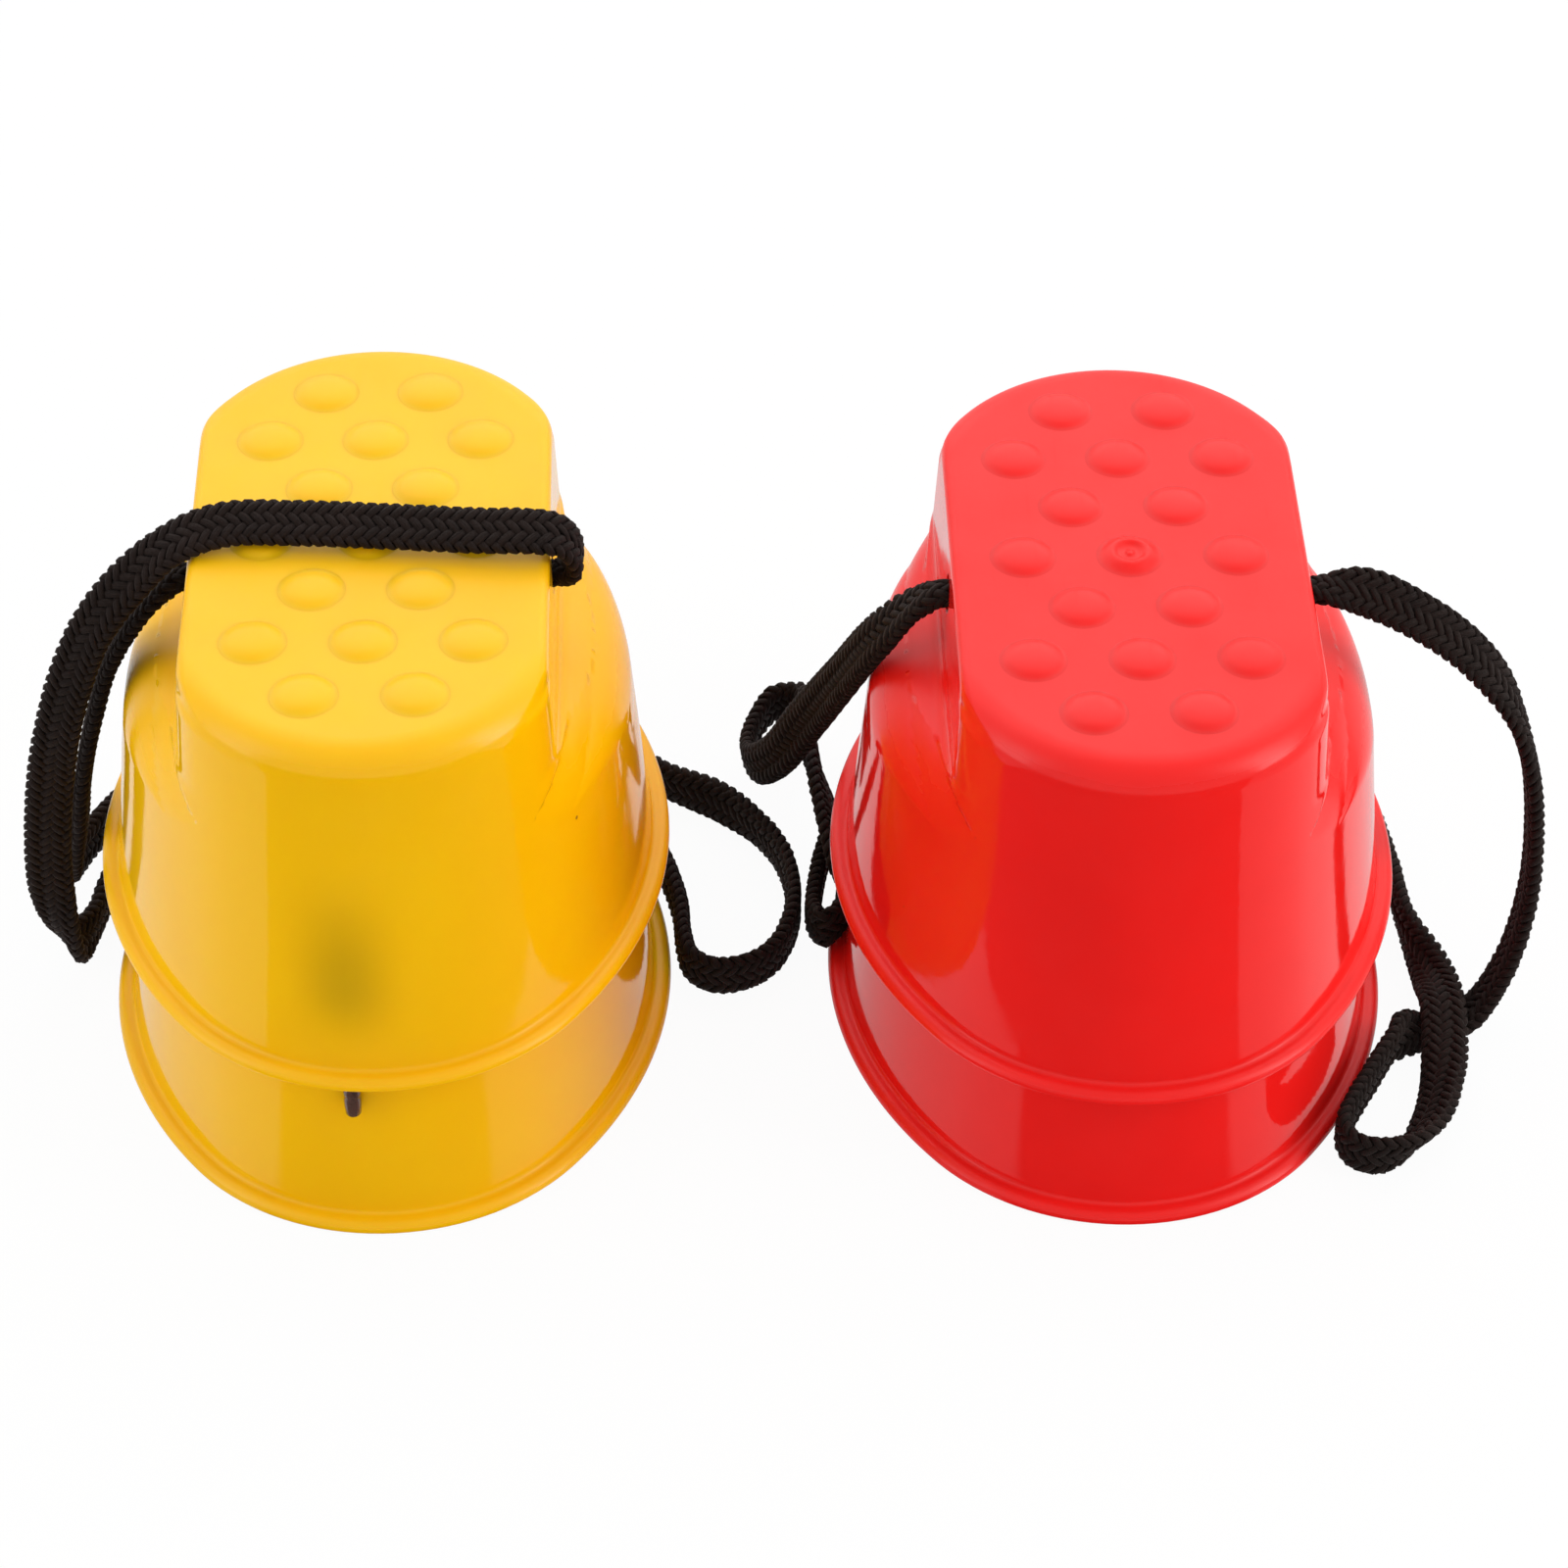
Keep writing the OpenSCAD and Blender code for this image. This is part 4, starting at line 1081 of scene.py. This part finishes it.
# %% [markdown]
# The yarns are dyed polyester, near black with a brown cast. Each is a bundle of fine filaments, so the
# grid's own map, which runs along the yarn, carries thin lines for bump and tone. Sheen gives the soft
# pale edge of fibres that stand off the surface.

# %% Yarn finish
YARN_DEEP, YARN_WORN = (0.0036, 0.0017, 0.0012, 1), (0.0125, 0.006, 0.0044, 1)
YARN_FADED = (0.018, 0.0093, 0.007, 1)
YARN_LINT = (0.055, 0.032, 0.025, 1)


def yarn_group():
    """Tone, roughness and height of a yarn's filaments."""
    group, _, sink = new_group(
        "yarn_filaments", [],
        [("Colour", "NodeSocketColor"), ("Roughness", "NodeSocketFloat"), ("Height", "NodeSocketFloat")],
    )
    map_uv = add(group, "UVMap", uv_map="yarn").outputs["UV"]
    place = add(group, "TexCoord").outputs["Object"]
    lines = scaled(group, map_uv, (160, 22, 1), (0, 0, 0.02))
    fibre = noise(group, lines, 1, 3, 0.6)
    fuzz = noise(group, place, 1900, 3, 0.65)
    fade = noise(group, place, 60, 3, 0.5)
    tone = mix_colour(group, span(group, fibre, 0.3, 0.7, 0, 1), YARN_DEEP, YARN_WORN)
    faded = mix_colour(group, span(group, fade, 0.4, 0.75, 0, 0.35), tone, YARN_FADED)
    lint = mix_colour(group, span(group, fuzz, 0.68, 0.8, 0, 0.5), faded, YARN_LINT)
    group.links.new(lint, sink.inputs["Colour"])
    group.links.new(span(group, fuzz, 0.3, 0.7, 0.62, 0.85), sink.inputs["Roughness"])
    height = math_node(group, "ADD", fibre, math_node(group, "MULTIPLY", fuzz, 0.6))
    group.links.new(height, sink.inputs["Height"])
    return group


YARN_FILAMENTS = yarn_group()
BRAID, tree, shader = principled("lace_braid")
yarn = add(tree, "Group", node_tree=YARN_FILAMENTS)
tree.links.new(yarn.outputs["Colour"], shader.inputs["Base Color"])
tree.links.new(yarn.outputs["Roughness"], shader.inputs["Roughness"])
add_relief(tree, shader, yarn.outputs["Height"], 0.6, 0.0003)
shader.inputs["Sheen Weight"].default_value = 0.05
shader.inputs["Sheen Roughness"].default_value = 0.45
shader.inputs["Sheen Tint"].default_value = (0.75, 0.6, 0.55, 1)
shader.inputs["Specular IOR Level"].default_value = 0.13
braid_pieces = [yellow_lace, red_lace, caught_tail] + [s[0] for s in stowed.values()]
braid_pieces += [p for made in knot_pieces.values() for p in made if p.name.endswith("knot")]
for piece in braid_pieces:
    piece.data.materials.append(BRAID)
print("braid on", len(braid_pieces), "pieces")

# %% [markdown]
# A lace tip is a brown plastic sleeve, glossy, with fine lengthwise streaks. The ties of the stowed laces
# are pale bands with ribs across them. Both are small, so noise and a wave in the material give enough
# detail.

# %% Finish of the tips
TIP, tree, shader = principled("lace_tip")
place = add(tree, "TexCoord").outputs["Object"]
streak = noise(tree, scaled(tree, place, (700, 700, 120)), 1, 3, 0.6)
brown = mix_colour(tree, span(tree, streak, 0.3, 0.7, 0, 1), (0.05, 0.02, 0.013, 1), (0.1, 0.042, 0.028, 1))
tree.links.new(brown, shader.inputs["Base Color"])
tree.links.new(span(tree, noise(tree, place, 500, 3, 0.6), 0.3, 0.7, 0.12, 0.3), shader.inputs["Roughness"])
add_relief(tree, shader, streak, 0.3, 0.0002)
shader.inputs["Coat Weight"].default_value = 0.5
tips = [caught_tip] + [p for made in knot_pieces.values() for p in made if p.name.endswith("tip")]
for piece in tips:
    piece.data.materials.append(TIP)
print("tips:", len(tips))

# %% Finish of the ties
BAND, tree, shader = principled("tie_band")
place = add(tree, "TexCoord").outputs["Object"]
cloud = noise(tree, place, 300, 4, 0.6)
pale = mix_colour(tree, span(tree, cloud, 0.3, 0.7, 0, 1), (0.78, 0.74, 0.66, 1), (0.64, 0.6, 0.52, 1))
tree.links.new(pale, shader.inputs["Base Color"])
tree.links.new(span(tree, noise(tree, place, 900, 3, 0.6), 0.3, 0.7, 0.45, 0.7), shader.inputs["Roughness"])
ribs = add(tree, "TexWave", bands_direction="Y", sockets={"Vector": place, "Scale": 900, "Distortion": 0.6})
add_relief(tree, shader, ribs.outputs["Fac"], 0.3, 0.0002)
for stilt in stowed:
    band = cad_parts[stilt + "_tie"]
    band.data.materials.clear()
    band.data.materials.append(BAND)
print("ties:", len(stowed))

# %% [markdown]
# The stage is a plain white floor under soft light. Where the camera looks at the floor or past it, it
# sees white; the floor still takes the soft shadow of the stacks. Glossy walls mirror the floor, and to
# them alone it glows in painted reflection sheets: bright beside each stack, which draws the upright pale
# bands on the walls, and dim in front, which leaves the middle of each wall in its full colour.

# %% Floor
FLOOR_HALF = 4
FLOOR_DROP = 0.0004
bm = bmesh.new()
bmesh.ops.create_grid(bm, x_segments=1, y_segments=1, size=FLOOR_HALF)
floor_mesh = to_mesh(bm, "studio_floor")
floor = bpy.data.objects.new("studio_floor", floor_mesh)
floor.location.z = -FLOOR_DROP
scene.collection.objects.link(floor)
floor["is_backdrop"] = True


def seen_directly(tree):
    """1 for rays of the camera, of reflections and of what passes through, 0 for others."""
    ray = add(tree, "LightPath")
    first = math_node(tree, "MAXIMUM", ray.outputs["Is Camera Ray"], ray.outputs["Is Glossy Ray"])
    return math_node(tree, "MAXIMUM", first, ray.outputs["Is Transmission Ray"])


FLOOR = bpy.data.materials.new("studio_floor")
FLOOR.use_nodes = True
tree = FLOOR.node_tree
tree.nodes.clear()
place = add(tree, "TexCoord").outputs["Object"]
pale = mix_colour(tree, noise(tree, place, 40, 2, 0.5), (0.8, 0.8, 0.8, 1), (0.82, 0.82, 0.82, 1))
matt = add(tree, "BsdfDiffuse", sockets={"Color": pale})

# Where the painted reflection sheets start before a stack, how fast they spread, how soft their edge is
SHEET_X, SHEET_Y, SHEET_SPREAD, SHEET_SOFT = 0.0207, 0.0663, 1.48, 0.004
# Glow of the painted reflection sheets beside a stack and of the dim floor in front of it
SHEET_LEVEL, FRONT_LEVEL = 0.8, 0.1
split = add(tree, "SeparateXYZ", sockets={0: place})
from_stack = math_node(tree, "SUBTRACT", math_node(tree, "ABSOLUTE", split.outputs["X"]), STACK_X)
beside = math_node(tree, "SUBTRACT", math_node(tree, "ABSOLUTE", from_stack), SHEET_X)
ahead = math_node(tree, "MULTIPLY", math_node(tree, "ADD", split.outputs["Y"], SHEET_Y), SHEET_SPREAD)
edge = math_node(tree, "ADD", beside, ahead)
painted_reflection_sheet = span(tree, edge, -SHEET_SOFT, SHEET_SOFT, FRONT_LEVEL, SHEET_LEVEL)
# Painted reflection: only reflections see the floor glow in these sheets; the camera sees it plain white
mirrored = add(tree, "LightPath").outputs["Is Glossy Ray"]
level = math_node(tree, "MAXIMUM", math_node(tree, "SUBTRACT", 1, mirrored), painted_reflection_sheet)
bright = add(tree, "Emission", sockets={"Color": (1, 1, 1, 1), "Strength": level})
share = math_node(tree, "MULTIPLY", seen_directly(tree), 0.95)
blend = add(tree, "MixShader", sockets={0: share, 1: matt.outputs[0], 2: bright.outputs[0]})
add(tree, "OutputMaterial", sockets={"Surface": blend.outputs[0]})
floor_mesh.materials.append(FLOOR)
print("floor:", 2 * FLOOR_HALF, "m wide")

# %% World
world = bpy.data.worlds.new("studio")
scene.world = world
world.use_nodes = True
tree = world.node_tree
strength = span(tree, seen_directly(tree), 0, 1, 0.62, 1)
tree.nodes["Background"].inputs["Color"].default_value = (1, 1, 1, 1)
tree.links.new(strength, tree.nodes["Background"].inputs["Strength"])
print("world:", world.name)

# %% [markdown]
# Three soft lamps light the stacks. The largest stands behind and above them: it brightens the plates and
# the back of each bump, and leaves the bumps' front halves a little darker, so that the bumps read as
# round. Two smaller ones at the sides fill the walls.

# %% Lamps
LAMP_TARGET = (0, 0, 0.05)


def soft_lamp(name, place, size, power):
    """A flat soft lamp at a place, turned to the stacks."""
    data = bpy.data.lights.new(name, "AREA")
    data.shape = "RECTANGLE"
    data.size, data.size_y = size
    data.energy = power
    lamp = bpy.data.objects.new(name, data)
    aim = (Vector(LAMP_TARGET) - Vector(place)).to_track_quat("-Z", "Y").to_matrix().to_4x4()
    lamp.matrix_world = Matrix.Translation(place) @ aim
    scene.collection.objects.link(lamp)


soft_lamp("back_lamp", (0, 0.85, 1.1), (2.6, 1.6), 17)
soft_lamp("left_lamp", (-0.9, -0.3, 0.5), (0.5, 0.8), 2.6)
soft_lamp("right_lamp", (0.9, -0.3, 0.5), (0.4, 0.8), 5)
scene.view_settings.view_transform = "Standard"

# %% Bounds of the model
low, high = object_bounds()
